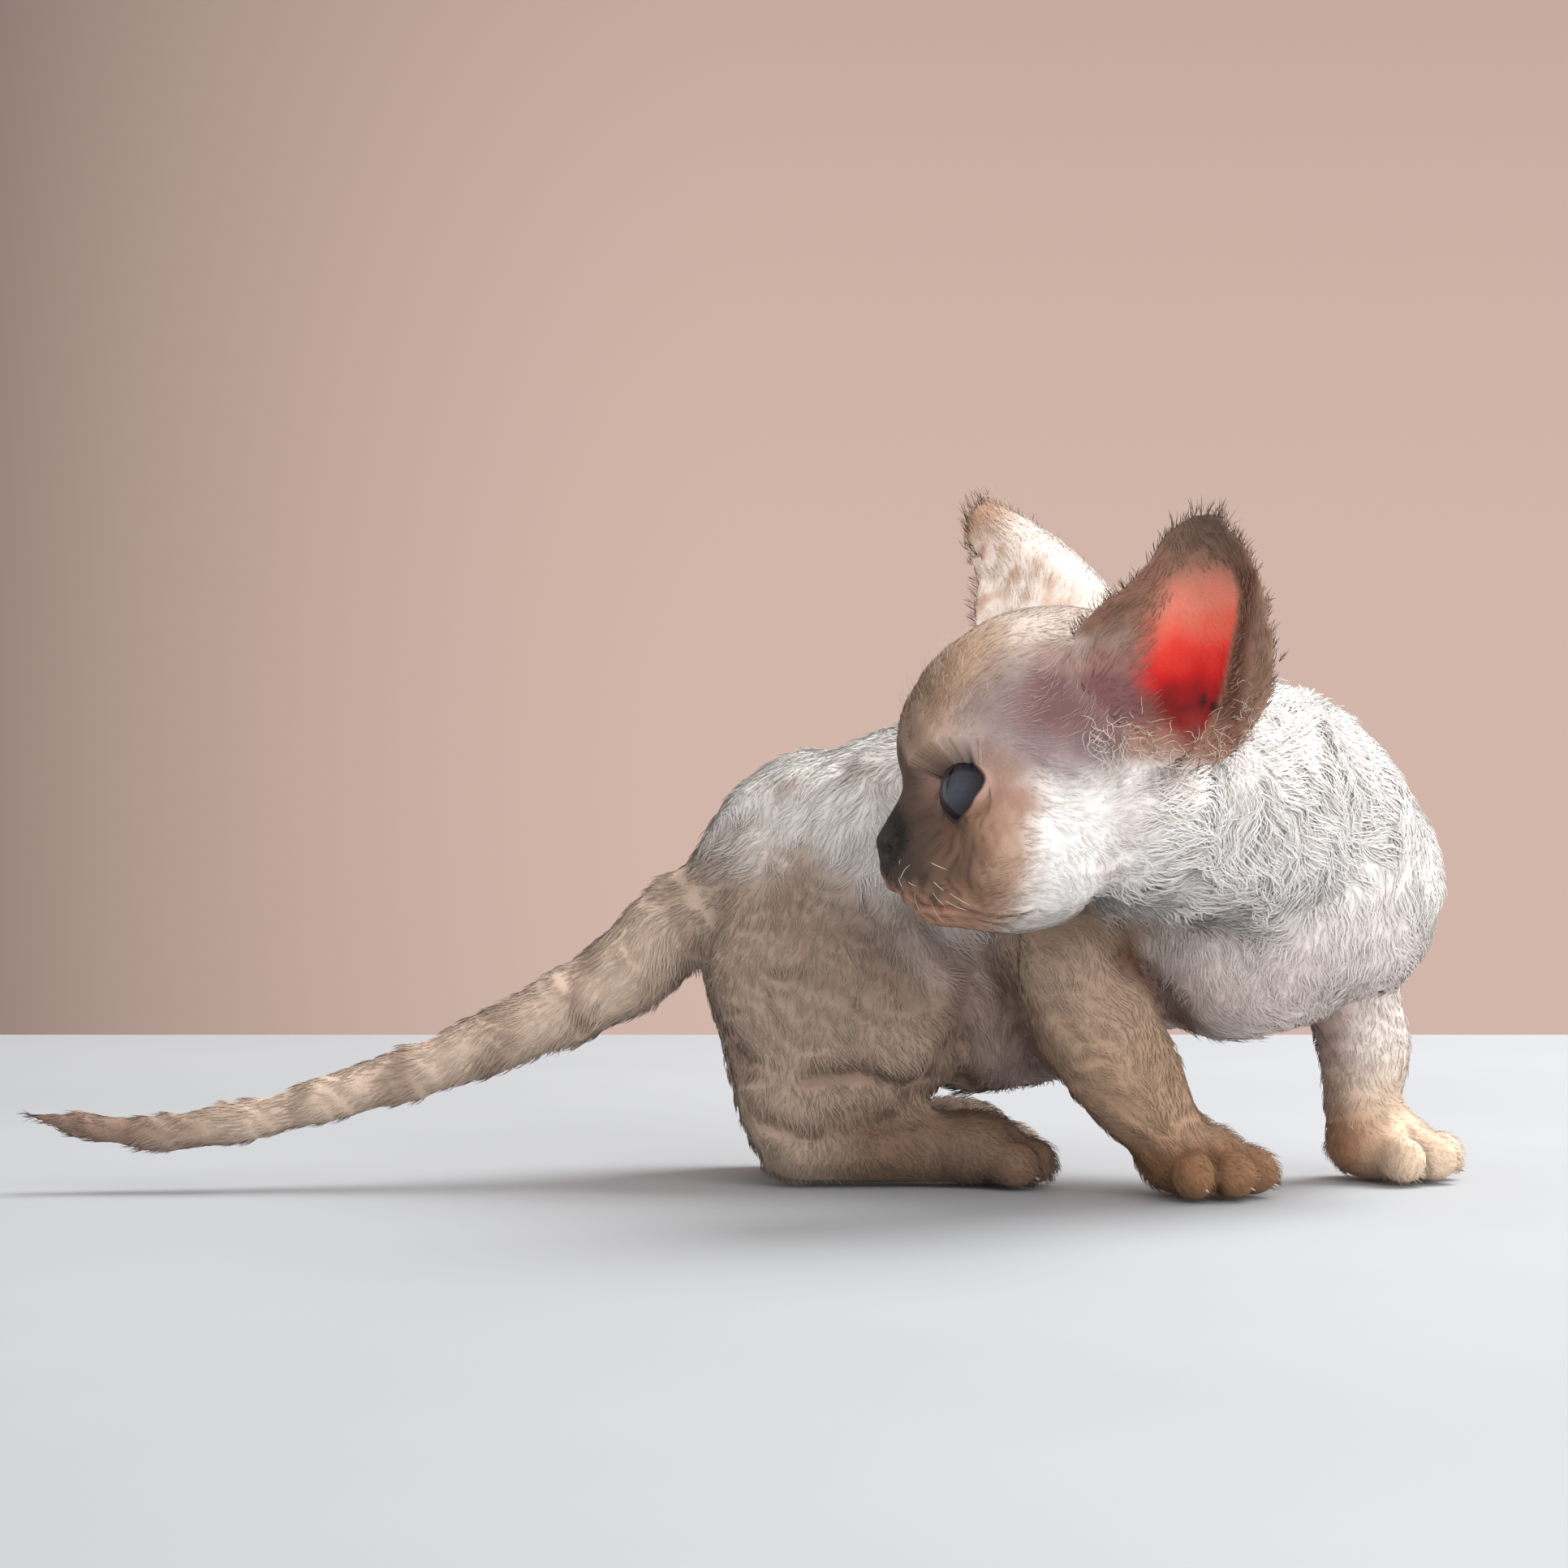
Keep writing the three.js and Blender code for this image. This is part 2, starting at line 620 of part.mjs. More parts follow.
// On the body the coat lies back towards the tail and down the sides; on the neck, down and back.
const torsoLie = () => point(-0.85, 0.2, -0.5).normalize();
const neckLie = () => point(0.7, 0.45, -0.55).normalize();
const onBack = (spot) => spot.z > BARE_BELLY
  && clearOf(spot, [neckField, ...LEG_FIELDS], BACK_CURL.clear);
const onNeck = (spot) => clearOf(spot, [torsoField, headField], NECK_CURL.clear);
const coatedTorso = (grow) => joined([
  torsoBody(grow + COAT_CORE),
  ...curlsOver(torsoField, TORSO.spine, BACK_CURL, torsoLie, onBack, grow),
]);
const coatedNeck = (grow) => joined([
  neckBody(grow + COAT_CORE),
  ...curlsOver(neckField, [NECK.base, NECK.top], NECK_CURL, neckLie, onNeck, grow),
]);
const torsoCut = coatedTorso(GAP);
const neckCut = coatedNeck(GAP);

addNode('torso', cutBy(coatedTorso(0), [headCut, ...earCuts]), CREAM);
addNode('neck', cutBy(coatedNeck(0), [torsoCut, headCut, ...earCuts]), CREAM);

const openings = [1, -1].flatMap((side) => [eyeBall(side, GAP), eyeOpening(side), nostril(side)]);
const head = headBody(0).add(lip());
addNode('head', cutBy(head, [mouthGroove(), noseSplit(), ...openings, ...earCuts]), BEIGE);
addNode('ear_left', earCup(LEFT_EAR, 0, false), TAUPE);
addNode('ear_right', earCup(RIGHT_EAR, 0, false), CREAM);
addNode('eye_left', eyeBall(1, 0), 0x76828f, 0.1);
addNode('eye_right', eyeBall(-1, 0), 0x76828f, 0.1);

const feet = {
  foreleg_right: { leg: (grow) => foreleg(NEAR_FORELEG, grow), middle: point(87.5, -5, 8), heading: -34 },
  foreleg_left: { leg: (grow) => foreleg(FAR_FORELEG, grow), middle: point(133, 27, 8), heading: -16 },
  hind_leg_right: { leg: (grow) => hindLeg(1, grow), middle: point(41.5, 14, 8.4), heading: -4, side: 1 },
  hind_leg_left: {
    leg: (grow) => hindLeg(-1, grow),
    middle: hindSpot(-1, 41.5, 14, 8.4),
    heading: 4,
    side: -1,
  },
};
for (const [name, foot] of Object.entries(feet)) {
  const heel = foot.side ? hindSpot(foot.side, HEEL.x, HEEL.y, HEEL.z) : null;
  const floor = new THREE.BoxGeometry(400, 400, 40).translate(0, 0, -19.6);
  const leg = foot.leg(0).subtract(bodyOfGeometry(floor));
  addNode(name, cutBy(leg, [torsoCut, neckCut, headCut]), BEIGE);
  const pawName = name.replace('foreleg', 'forepaw').replace('hind_leg', 'hind_foot');
  addNode(pawName, paw(foot.middle, foot.heading, 0, heel).subtract(foot.leg(GAP)), BEIGE);
}

const tail = wholeTail();
const [firstCut, secondCut] = TAIL_CUTS;
const hindLegCuts = [hindLeg(1, GAP), hindLeg(-1, GAP)];
addNode('tail_root', cutBy(tail, [halfSpace(firstCut, 1), torsoCut, ...hindLegCuts]), BEIGE);
addNode('tail_middle', cutBy(tail, [halfSpace(firstCut, -1), halfSpace(secondCut, 1)]), BEIGE);
addNode('tail_tip', tail.subtract(halfSpace(secondCut, -1)), TAUPE);

// The origin lies on the floor, under the middle of the whole kitten.
const box = new THREE.Box3().setFromObject(kitten);
const middle = box.getCenter(new THREE.Vector3());
for (const node of kitten.children) node.geometry.translate(-middle.x, -middle.y, -box.min.z);

export default kitten;
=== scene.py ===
import bpy
import numpy as np
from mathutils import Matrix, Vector
from mathutils.kdtree import KDTree


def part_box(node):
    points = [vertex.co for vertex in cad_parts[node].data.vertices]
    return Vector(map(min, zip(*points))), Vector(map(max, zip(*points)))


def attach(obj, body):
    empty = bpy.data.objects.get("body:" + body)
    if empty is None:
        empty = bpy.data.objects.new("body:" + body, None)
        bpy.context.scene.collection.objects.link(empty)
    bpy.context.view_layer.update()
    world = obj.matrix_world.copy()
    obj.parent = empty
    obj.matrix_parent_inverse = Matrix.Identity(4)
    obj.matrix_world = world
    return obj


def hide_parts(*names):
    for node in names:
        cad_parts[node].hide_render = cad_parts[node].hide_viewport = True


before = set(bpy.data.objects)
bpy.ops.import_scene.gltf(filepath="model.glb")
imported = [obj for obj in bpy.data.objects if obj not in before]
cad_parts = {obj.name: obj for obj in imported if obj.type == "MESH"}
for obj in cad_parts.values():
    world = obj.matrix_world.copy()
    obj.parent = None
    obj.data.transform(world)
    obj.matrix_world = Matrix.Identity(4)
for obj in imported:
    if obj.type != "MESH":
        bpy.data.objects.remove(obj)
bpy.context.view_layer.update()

# Camera
# It stands level with the kitten's eyes, three quarters of a metre away on the right flank.
MM = 0.001
PHOTO_LENS = 84.97
SENSOR_WIDTH = 36.0
EYE_TO_CAMERA = Vector((-40.25, -750.03, 2.05)) * MM


def middle_of(node):
    low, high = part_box(node)
    return (low + high) / 2


camera_data = bpy.data.cameras.new("photo_camera")
camera_data.lens = PHOTO_LENS
camera_data.sensor_width = SENSOR_WIDTH
camera = bpy.data.objects.new("photo_camera", camera_data)
bpy.context.scene.collection.objects.link(camera)
camera.location = middle_of("eye_left") + EYE_TO_CAMERA
camera.rotation_euler = (np.pi / 2, 0, 0)
bpy.context.scene.camera = camera

# Skin
# One unbroken skin of soft, pink to mauve hide lies over the whole kitten, under its coat, and
# shows on the nose, lids, lips, temples and inside the ears. It is wrapped round all the flesh.
SKIN_VOXEL = 1.2 * MM
FLESH = {
    # Each part: how far the skin lies under the tips of the coat, and how much it is smoothed.
    "torso": (1.5, 34), "neck": (1.7, 34), "head": (0.8, 3), "ear_left": (0.15, 2), "ear_right": (0.15, 2),
    "foreleg_right": (1.9, 8), "foreleg_left": (1.9, 8), "hind_leg_right": (1.9, 10),
    "hind_leg_left": (1.9, 10), "forepaw_right": (0.7, 2), "forepaw_left": (0.7, 2),
    "hind_foot_right": (0.8, 3), "hind_foot_left": (0.8, 3), "tail_root": (1.9, 8),
    "tail_middle": (1.7, 6), "tail_tip": (1.2, 3),
}
FLESH_NAMES = list(FLESH)


def only(*pieces):
    bpy.ops.object.select_all(action="DESELECT")
    for piece in pieces:
        piece.select_set(True)
    bpy.context.view_layer.objects.active = pieces[0]


def copy_of(node):
    piece = bpy.data.objects.new(node + "_copy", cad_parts[node].data.copy())
    bpy.context.scene.collection.objects.link(piece)
    return piece


def rows_of(items, value, width, kind=float):
    """A row of numbers for each vertex, edge, face or corner, read from its named value."""
    flat = np.empty(len(items) * width, dtype=kind)
    items.foreach_get(value, flat)
    return flat.reshape(-1, width)


def places_of(mesh):
    return rows_of(mesh.vertices, "co", 3) / MM


def normals_of(mesh):
    return rows_of(mesh.vertex_normals, "vector", 3)


def set_places(mesh, places):
    mesh.vertices.foreach_set("co", (places * MM).ravel())
    mesh.update()


class Neighbours:
    """The vertices joined by an edge, for smoothing values over a mesh."""

    def __init__(self, mesh):
        edges = rows_of(mesh.edges, "vertices", 2, np.int64)
        self.start = np.concatenate([edges[:, 0], edges[:, 1]])
        self.end = np.concatenate([edges[:, 1], edges[:, 0]])
        self.size = len(mesh.vertices)
        self.count = np.maximum(np.bincount(self.start, minlength=self.size), 1)

    def average(self, values):
        columns = [
            np.bincount(self.start, weights=values[self.end, i], minlength=self.size) / self.count
            for i in range(values.shape[1])
        ]
        return np.stack(columns, axis=1)


def unit(vectors):
    return vectors / np.maximum(np.linalg.norm(vectors, axis=-1, keepdims=True), 1e-9)


def fade(values, low, high):
    share = np.clip((values - low) / (high - low), 0, 1)
    return share * share * (3 - 2 * share)


copies = [copy_of(name) for name in [*FLESH_NAMES, "eye_left", "eye_right"]]
only(*copies)
bpy.ops.object.join()
skin = bpy.context.view_layer.objects.active
skin.name = "skin"
skin.data.name = "skin"
bpy.ops.object.mode_set(mode="EDIT")
bpy.ops.mesh.select_all(action="SELECT")
bpy.ops.mesh.remove_doubles(threshold=0.01 * MM)
bpy.ops.object.mode_set(mode="OBJECT")
wrap = skin.modifiers.new("wrap", "REMESH")
wrap.mode = "VOXEL"
wrap.voxel_size = SKIN_VOXEL
bpy.ops.object.modifier_apply(modifier=wrap.name)

# The head's own directions come from its two eyes: forward, to its left, and up, in millimetres.
EYE_FORWARD = 17.2
EYE_DROP = 10.4
EYE_RADIUS = 8.2
left_eye = np.array(middle_of("eye_left")) / MM
right_eye = np.array(middle_of("eye_right")) / MM
head_side = unit(left_eye - right_eye)
head_forward = unit(np.cross(head_side, (0, 0, 1)))
head_up = np.cross(head_forward, head_side)
head_middle = (left_eye + right_eye) / 2 - EYE_FORWARD * head_forward + EYE_DROP * head_up
head_axes = np.stack([head_forward, head_side, head_up])


def on_head(places):
    return (places - head_middle) @ head_axes.T


def from_head(places):
    return np.asarray(places, float) @ head_axes + head_middle


def fold_over(local):
    """Both halves of the head laid onto its left one."""
    return np.abs(local) * (0, 1, 0) + local * (1, 0, 1)


def tree_of(spots):
    tree = KDTree(len(spots))
    for index, spot in enumerate(spots):
        tree.insert(spot, index)
    tree.balance()
    return tree


def part_shares(places, neighbours, blur):
    """How far each place belongs to each part of the flesh, with the borders blurred."""
    tree_places = []
    tree_parts = []
    for index, name in enumerate(FLESH_NAMES):
        spots = places_of(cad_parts[name].data)
        tree_places.extend(spots)
        tree_parts.extend([index] * len(spots))
    tree = tree_of(tree_places)
    shares = np.zeros((len(places), len(FLESH_NAMES)))
    for index, spot in enumerate(places):
        shares[index, tree_parts[tree.find(spot)[1]]] = 1
    for _ in range(blur):
        shares = (shares + neighbours.average(shares)) / 2
    return shares


# The face is made finer before its folds are shaped, and the lids finer again.
def make_finer(centre, radius):
    faces = rows_of(skin.data.polygons, "center", 3) / MM
    distance = np.linalg.norm(faces - centre, axis=1)
    skin.data.polygons.foreach_set("select", distance < radius)
    bpy.ops.object.mode_set(mode="EDIT")
    bpy.ops.mesh.select_mode(type="FACE")
    bpy.ops.mesh.subdivide(number_cuts=1, smoothness=0)
    bpy.ops.object.mode_set(mode="OBJECT")
    deselect_mesh(skin.data)


def deselect_mesh(mesh):
    for part in (mesh.vertices, mesh.edges, mesh.polygons):
        part.foreach_set("select", np.zeros(len(part), dtype=bool))


FACE_MIDDLE = (20, 0, -14)
FINE_FACE = 25
FINE_EYE = 12
MOST_SMOOTHING = 40


neighbours = Neighbours(skin.data)
skin_places = places_of(skin.data)
shares = part_shares(skin_places, neighbours, blur=6)
smoothing = shares @ np.array([FLESH[name][1] for name in FLESH_NAMES], float)
for step in range(MOST_SMOOTHING):
    pull = np.clip(smoothing - step, 0, 1)[:, None] * 0.5
    skin_places = skin_places + pull * (neighbours.average(skin_places) - skin_places)
set_places(skin.data, skin_places)
depth = shares @ np.array([FLESH[name][0] for name in FLESH_NAMES], float)
skin_places = skin_places - depth[:, None] * normals_of(skin.data)
set_places(skin.data, skin_places)
deselect_mesh(skin.data)
make_finer(from_head(FACE_MIDDLE), FINE_FACE)
for eye in (left_eye, right_eye):
    make_finer(eye, FINE_EYE)

# Paws: the palm's middle from the middle of its node, the way the toes point, and their fan
PAWS = {
    "forepaw_right": ((-3.77, 3.85, -0.3), -34, 40), "forepaw_left": ((-4.15, 2.13, 0.1), -16, 40),
    "hind_foot_right": ((13.88, 0.7, -0.28), -4, 30), "hind_foot_left": ((13.87, -0.7, -0.27), 4, 30),
}
TOES_FORWARD = 8
FINE_TOES = 15
CLEFT_HALF = 1.0
CLEFT_DEPTH = 1.4


def on_paw(places, name):
    """Distance from the palm's middle over the floor, angle from the way the toes point, height."""
    offset, heading, _ = PAWS[name]
    palm = np.array(middle_of(name)) / MM + offset
    flat = places[:, :2] - palm[:2]
    angle = np.degrees(np.arctan2(flat[:, 1], flat[:, 0])) - heading
    angle = (angle + 180) % 360 - 180
    return np.linalg.norm(flat, axis=1), angle, places[:, 2]


def toe_gap(places, name):
    """1 in the clefts between the toes, fading to 0 over each toe's rounded back."""
    reach, angle, _ = on_paw(places, name)
    fan = PAWS[name][2]
    clefts = np.array((-1, 0, 1)) * fan
    away = np.min(np.abs(angle[:, None] - clefts), axis=1) * np.radians(1) * reach
    return np.exp(-(away / CLEFT_HALF) ** 2) * fade(reach, 7, 12) * (np.abs(angle) < 1.7 * fan)


for name, (offset, heading, _) in PAWS.items():
    toes = np.array(middle_of(name)) / MM + offset
    toes[:2] += TOES_FORWARD * np.array((np.cos(np.radians(heading)), np.sin(np.radians(heading))))
    make_finer(toes, FINE_TOES)
neighbours = Neighbours(skin.data)
skin_places = places_of(skin.data)
for step in range(2):
    near_face = fade(np.linalg.norm(on_head(skin_places) - FACE_MIDDLE, axis=1), 30, 24)[:, None]
    skin_places = skin_places + 0.5 * near_face * (neighbours.average(skin_places) - skin_places)

# Lids: the skin sinks behind the ball inside the opening and stands over it as a rolled edge.
LID_OPENING = np.array([
    (0.47, 0.27), (0.15, 0.64), (-0.30, 0.88), (-0.72, 0.78), (-0.98, 0.40),
    (-0.92, -0.18), (-0.50, -0.76), (-0.12, -0.50), (0.22, -0.12),
])
LID_MIDDLE = np.array((-0.30, 0.10))
LID_OUTWARD = 46.0
LID_RAISED = 0.17
LID_THICKNESS = 0.6
SUNK_BEHIND_BALL = 1.4
LID_REGION = 16


def eye_axes(side):
    """The eye's own directions: outwards, back to its outer corner, and up."""
    angle = np.radians(LID_OUTWARD)
    outward = np.cos(angle) * head_forward + side * np.sin(angle) * head_side
    outward = unit(outward + LID_RAISED * head_up)
    back = unit(-head_forward + (head_forward @ outward) * outward)
    upward = np.array((0.0, 0.0, 1.0)) - outward[2] * outward
    upward = unit(upward - (upward @ back) * back)
    return outward, back, upward


def lid_reach(places, side):
    """Distance from the eye, and how far from the middle of the opening: 1 is the lid's edge."""
    eye = left_eye if side > 0 else right_eye
    outward, back, upward = eye_axes(side)
    offset = places - eye
    distance = np.linalg.norm(offset, axis=1)
    aim = unit(offset)
    turned = np.arccos(np.clip(aim @ outward, -1, 1))
    flat = np.stack([aim @ back, aim @ upward], axis=1)
    flat = unit(flat) * turned[:, None] - LID_MIDDLE
    rim = LID_OPENING - LID_MIDDLE
    rim_angle = np.arctan2(rim[:, 1], rim[:, 0])
    order = np.argsort(rim_angle)
    rim_radius = np.linalg.norm(rim, axis=1)[order]
    angle = np.arctan2(flat[:, 1], flat[:, 0])
    turns = np.linspace(-np.pi, np.pi, 72, endpoint=False)
    smooth = np.interp(turns, rim_angle[order], rim_radius, period=2 * np.pi)
    for _ in range(3):
        smooth = 0.5 * smooth + 0.25 * (np.roll(smooth, 1) + np.roll(smooth, -1))
    radius = np.interp(angle, turns, smooth, period=2 * np.pi)
    reach = np.linalg.norm(flat, axis=1) / radius
    return distance, aim, reach


for side, eye in ((1, left_eye), (-1, right_eye)):
    distance, aim, reach = lid_reach(skin_places, side)
    close = distance < LID_REGION
    lid = EYE_RADIUS + LID_THICKNESS * (1 - fade(reach, 1.1, 1.6))
    edge_share = fade(reach, 1.9, 1.25)
    natural = np.maximum(distance, EYE_RADIUS + 0.2)
    lidded = natural + edge_share * (lid - natural)
    lidded = np.where(reach < 1, EYE_RADIUS - SUNK_BEHIND_BALL, lidded)
    moved = eye + aim * lidded[:, None]
    skin_places = np.where((close & (reach < 1.9))[:, None], moved, skin_places)

# The skin round the lids is smoothed, so that it runs into them without creases.
around_lids = np.zeros(len(skin_places))
for side in (1, -1):
    distance, _, reach = lid_reach(skin_places, side)
    around = fade(reach, 1.15, 1.5) * fade(reach, 3.2, 2.2) * fade(distance, 19, 15)
    around_lids = np.maximum(around_lids, around)
for step in range(5):
    smoothed = neighbours.average(skin_places)
    skin_places = skin_places + 0.5 * around_lids[:, None] * (smoothed - skin_places)

# Mouth and nose: a groove under the lips, a split up to the nose, two comma-shaped nostrils.
FACE_CENTRE = np.array((10.0, 0.0, -12.0))
MOUTH_HALF = np.array([
    (9, 15, -30), (14, 13, -33.5), (20, 9.5, -33), (26, 6.5, -32.5), (31, 3, -32.5), (33, 0, -31.5),
], float)
NOSE_SPLIT = np.array([(33, 0, -31.5), (35, 0, -29), (37, 0, -25)], float)
NOSTRIL = np.array((35.8, 2.8, -22.8))
NOSTRIL_SIZE = (2.2, 1.0, 1.1)
NOSTRIL_DEPTH = 1.9
WING_FROM_NOSTRIL = (-1.0, 1.2, 0.4)
WING_SIZE = (2.4, 1.5, 2.0)
WING_HEIGHT = 0.55
LIP_GROOVE = 1.1
LIP_HEIGHT = 0.4
NOSE_TIP = np.array((36.6, 0.0, -21.6))


def seam_distance(local, line):
    """How far each place is from a line over the face, measured across the surface."""
    aims = unit(local - FACE_CENTRE)
    reach = np.linalg.norm(local - FACE_CENTRE, axis=1)
    best = np.full(len(local), 99.0)
    for start, end in zip(line[:-1], line[1:]):
        for share in np.linspace(0, 1, 9):
            spot = unit(start + share * (end - start) - FACE_CENTRE)
            best = np.minimum(best, np.linalg.norm(aims - spot, axis=1) * reach)
    return best


def mouth_distance(local):
    folded = fold_over(local)
    return np.minimum(seam_distance(folded, MOUTH_HALF), seam_distance(folded, NOSE_SPLIT) + 0.25)


local = on_head(skin_places)
face_rows = np.flatnonzero(np.linalg.norm(local - (20, 0, -16), axis=1) < 32)
set_places(skin.data, skin_places)
outward = normals_of(skin.data)
seam = mouth_distance(local[face_rows])
press = -LIP_GROOVE * np.exp(-(seam / 0.75) ** 2) + LIP_HEIGHT * np.exp(-((seam - 2.0) / 1.2) ** 2)
folded = fold_over(local[face_rows])
nostril = np.linalg.norm((folded - NOSTRIL) / NOSTRIL_SIZE, axis=1)
press = press - NOSTRIL_DEPTH * np.exp(-(nostril ** 2))
wing = np.linalg.norm((folded - NOSTRIL - WING_FROM_NOSTRIL) / WING_SIZE, axis=1)
press = press + WING_HEIGHT * np.exp(-((wing - 1) / 0.4) ** 2)
skin_places[face_rows] += press[:, None] * outward[face_rows]
set_places(skin.data, skin_places)

for name in PAWS:
    reach, angle, height = on_paw(skin_places, name)
    near = (reach < 24) & (height < 18) & (np.abs(angle) < 2.2 * PAWS[name][2])
    gap = toe_gap(skin_places, name) * near
    push = -CLEFT_DEPTH * gap * fade(height, 15, 11)
    skin_places += push[:, None] * normals_of(skin.data)
set_places(skin.data, skin_places)

# Folds of loose skin on the near side, each a line over the flank in millimetres along x and z
FOLDS = [
    # The line, its depth and its width
    (((11.4, 24.5), (21.9, 26), (30.7, 22.6), (39.4, 21.3), (47, 21)), 2.4, 2.4),
    (((-11.3, 38.8), (-7, 33), (-2.5, 27)), 1.8, 2.6),
    (((34.2, 59.7), (44.7, 47.5), (44.2, 33), (37.5, 24)), 2.2, 3.0),
    (((49.9, 54.5), (56.9, 37), (65.6, 21.3)), 2.0, 2.4),
    (((78.2, 51.7), (86.8, 44.8), (93.7, 34.5)), 2.2, 2.2),
    (((20, 56), (29, 49), (33, 41)), 1.0, 2.6),
    (((4, 47), (16, 44), (27, 36)), 0.9, 2.4),
    (((2, 16), (9, 12), (20, 12.5), (28, 15)), 1.1, 2.0),
]
MUSCLES = [
    # The middle of a bulge, its height and its reach
    ((27, 35), 2.6, 13), ((4, 40), 1.2, 12), ((4, 17), 2.4, 10), ((60, 49), 1.6, 11),
]
RIDGE_HEIGHT = 0.22
SKIN_ABOVE_FLOOR = 0.15


def line_distance(flat, line):
    best = np.full(len(flat), 99.0)
    for start, end in zip(line[:-1], line[1:]):
        start = np.array(start, float)
        stretch = np.array(end) - start
        share = np.clip((flat - start) @ stretch / (stretch @ stretch), 0, 1)
        best = np.minimum(best, np.linalg.norm(flat - start - share[:, None] * stretch, axis=1))
    return best


def fold_depth(places):
    """How far the folds sink below the skin and the muscles stand over it, in millimetres."""
    flat = places[:, [0, 2]]
    sunk = np.zeros(len(places))
    for line, depth, width in FOLDS:
        sunk += depth * np.exp(-(line_distance(flat, line) / width) ** 2)
    for centre, rise, reach in MUSCLES:
        sunk -= rise * np.exp(-(np.linalg.norm(flat - centre, axis=1) / reach) ** 2)
    return sunk


def ridges(places):
    """Crosswise waves of about -1 to 1 in the coat, some four millimetres apart, that come and go."""
    bend = 2.4 * np.sin(places @ (0.31, 0.17, 0.12)) + 1.8 * np.sin(places @ (-0.14, 0.2, 0.36) + 2)
    share = 0.5 + 0.3 * np.sin(places @ (0.35, -0.2, 0.16)) + 0.3 * np.sin(places @ (-0.19, 0.28, 0.41) + 1)
    return np.sin(places @ (0.55, 0.1, 1.05) + bend) * np.clip(share, 0, 1)


HEAD_PARTS = ("neck", "head", "ear_left", "ear_right")


def shares_of(shares, *names):
    return sum(shares[:, FLESH_NAMES.index(name)] for name in names)


outward = normals_of(skin.data)
flank = fade(outward[:, 1], -0.15, -0.65) * fade(skin_places[:, 1], 34, 22)
body_share = part_shares(skin_places, Neighbours(skin.data), blur=2)
own = 1 - shares_of(body_share, *HEAD_PARTS)
limb = shares_of(body_share, *[name for name in FLESH_NAMES if "leg" in name or "tail" in name])
push = RIDGE_HEIGHT * limb * ridges(skin_places) - flank * own * fold_depth(skin_places)
skin_places += push[:, None] * outward
skin_places[:, 2] = np.maximum(skin_places[:, 2], SKIN_ABOVE_FLOOR)
set_places(skin.data, skin_places)

# The unwrap follows the skin's own shape.
only(skin)
bpy.ops.object.mode_set(mode="EDIT")
bpy.ops.mesh.select_all(action="SELECT")
bpy.ops.mesh.normals_make_consistent(inside=False)
bpy.ops.uv.smart_project(angle_limit=np.radians(60), island_margin=0.002)
bpy.ops.object.mode_set(mode="OBJECT")
skin.data.uv_layers.active.name = "OFBake"
bpy.ops.object.shade_smooth()
neighbours = Neighbours(skin.data)
shares = part_shares(skin_places, neighbours, blur=14)
skin_normals = normals_of(skin.data)

# Ears: across from front to back edge, height towards the tip, and depth into the cup
EAR_AXES = {
    "ear_left": ((20.8, 8.0, 14.1), (0.081, -0.201, 0.976), (-0.039, -0.980, -0.196), 1),
    "ear_right": ((22.1, 15.6, 11.5), (-0.558, 0.060, 0.828), (-0.507, 0.760, -0.405), -1),
}


def ear_root(name):
    return np.array(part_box(name)[0]) / MM + EAR_AXES[name][0]


def on_ear(places, name):
    _, up, opening, side = EAR_AXES[name]
    back = side * np.cross(up, opening)
    offset = places - ear_root(name)
    return np.stack([offset @ back, offset @ up, -(offset @ np.array(opening))], axis=1)


# Markings: the same soft patches colour the skin and the coat over it.
def tone(red, green, blue):
    value = np.array((red, green, blue)) / 255
    return np.where(value < 0.04045, value / 12.92, ((value + 0.055) / 1.055) ** 2.4)


def soft_noise(places, wavelength, seed):
    """Smooth values of about -1 to 1 that wander over this distance in millimetres."""
    draw = np.random.default_rng(seed)
    total = np.zeros(len(places))
    for _ in range(7):
        aim = unit(draw.normal(size=3)) * draw.uniform(0.7, 1.4)
        total += np.sin(places @ aim * (2 * np.pi / wavelength) + draw.uniform(0, 2 * np.pi))
    return total / 2.6


def patch(local, centre, size, edge=0.35):
    """1 in the middle of an oval patch and 0 outside it."""
    reach = np.linalg.norm((local - np.array(centre)) / np.array(size), axis=1)
    return 1 - fade(reach, 1 - edge, 1 + edge)


def mix(base, share, colour):
    return base + (colour - base) * share[:, None]


def tones_along(values, stops, tones):
    """The colour at each value on a scale of colours with these stops."""
    return np.stack([np.interp(values, stops, tones[:, i]) for i in range(3)], axis=1)


WHITE = tone(253, 248, 244)
WARM_WHITE = tone(246, 234, 224)
GREY_BEIGE = tone(174, 154, 140)
DARK_GREY = tone(128, 110, 100)
TAN = tone(184, 152, 126)
TAUPE = tone(146, 120, 100)
NOSE_BLACK = tone(14, 8, 5)
TEMPLE_MAUVE = tone(124, 100, 102)
BELLY_MAUVE = tone(202, 176, 168)
BACK_SPOTS = ((7.0, 88.6), (22.6, 91.9), (-3.0, 80.0))
ARMPIT_SHADE_LINE = ((78, 53), (86, 45), (92, 37))


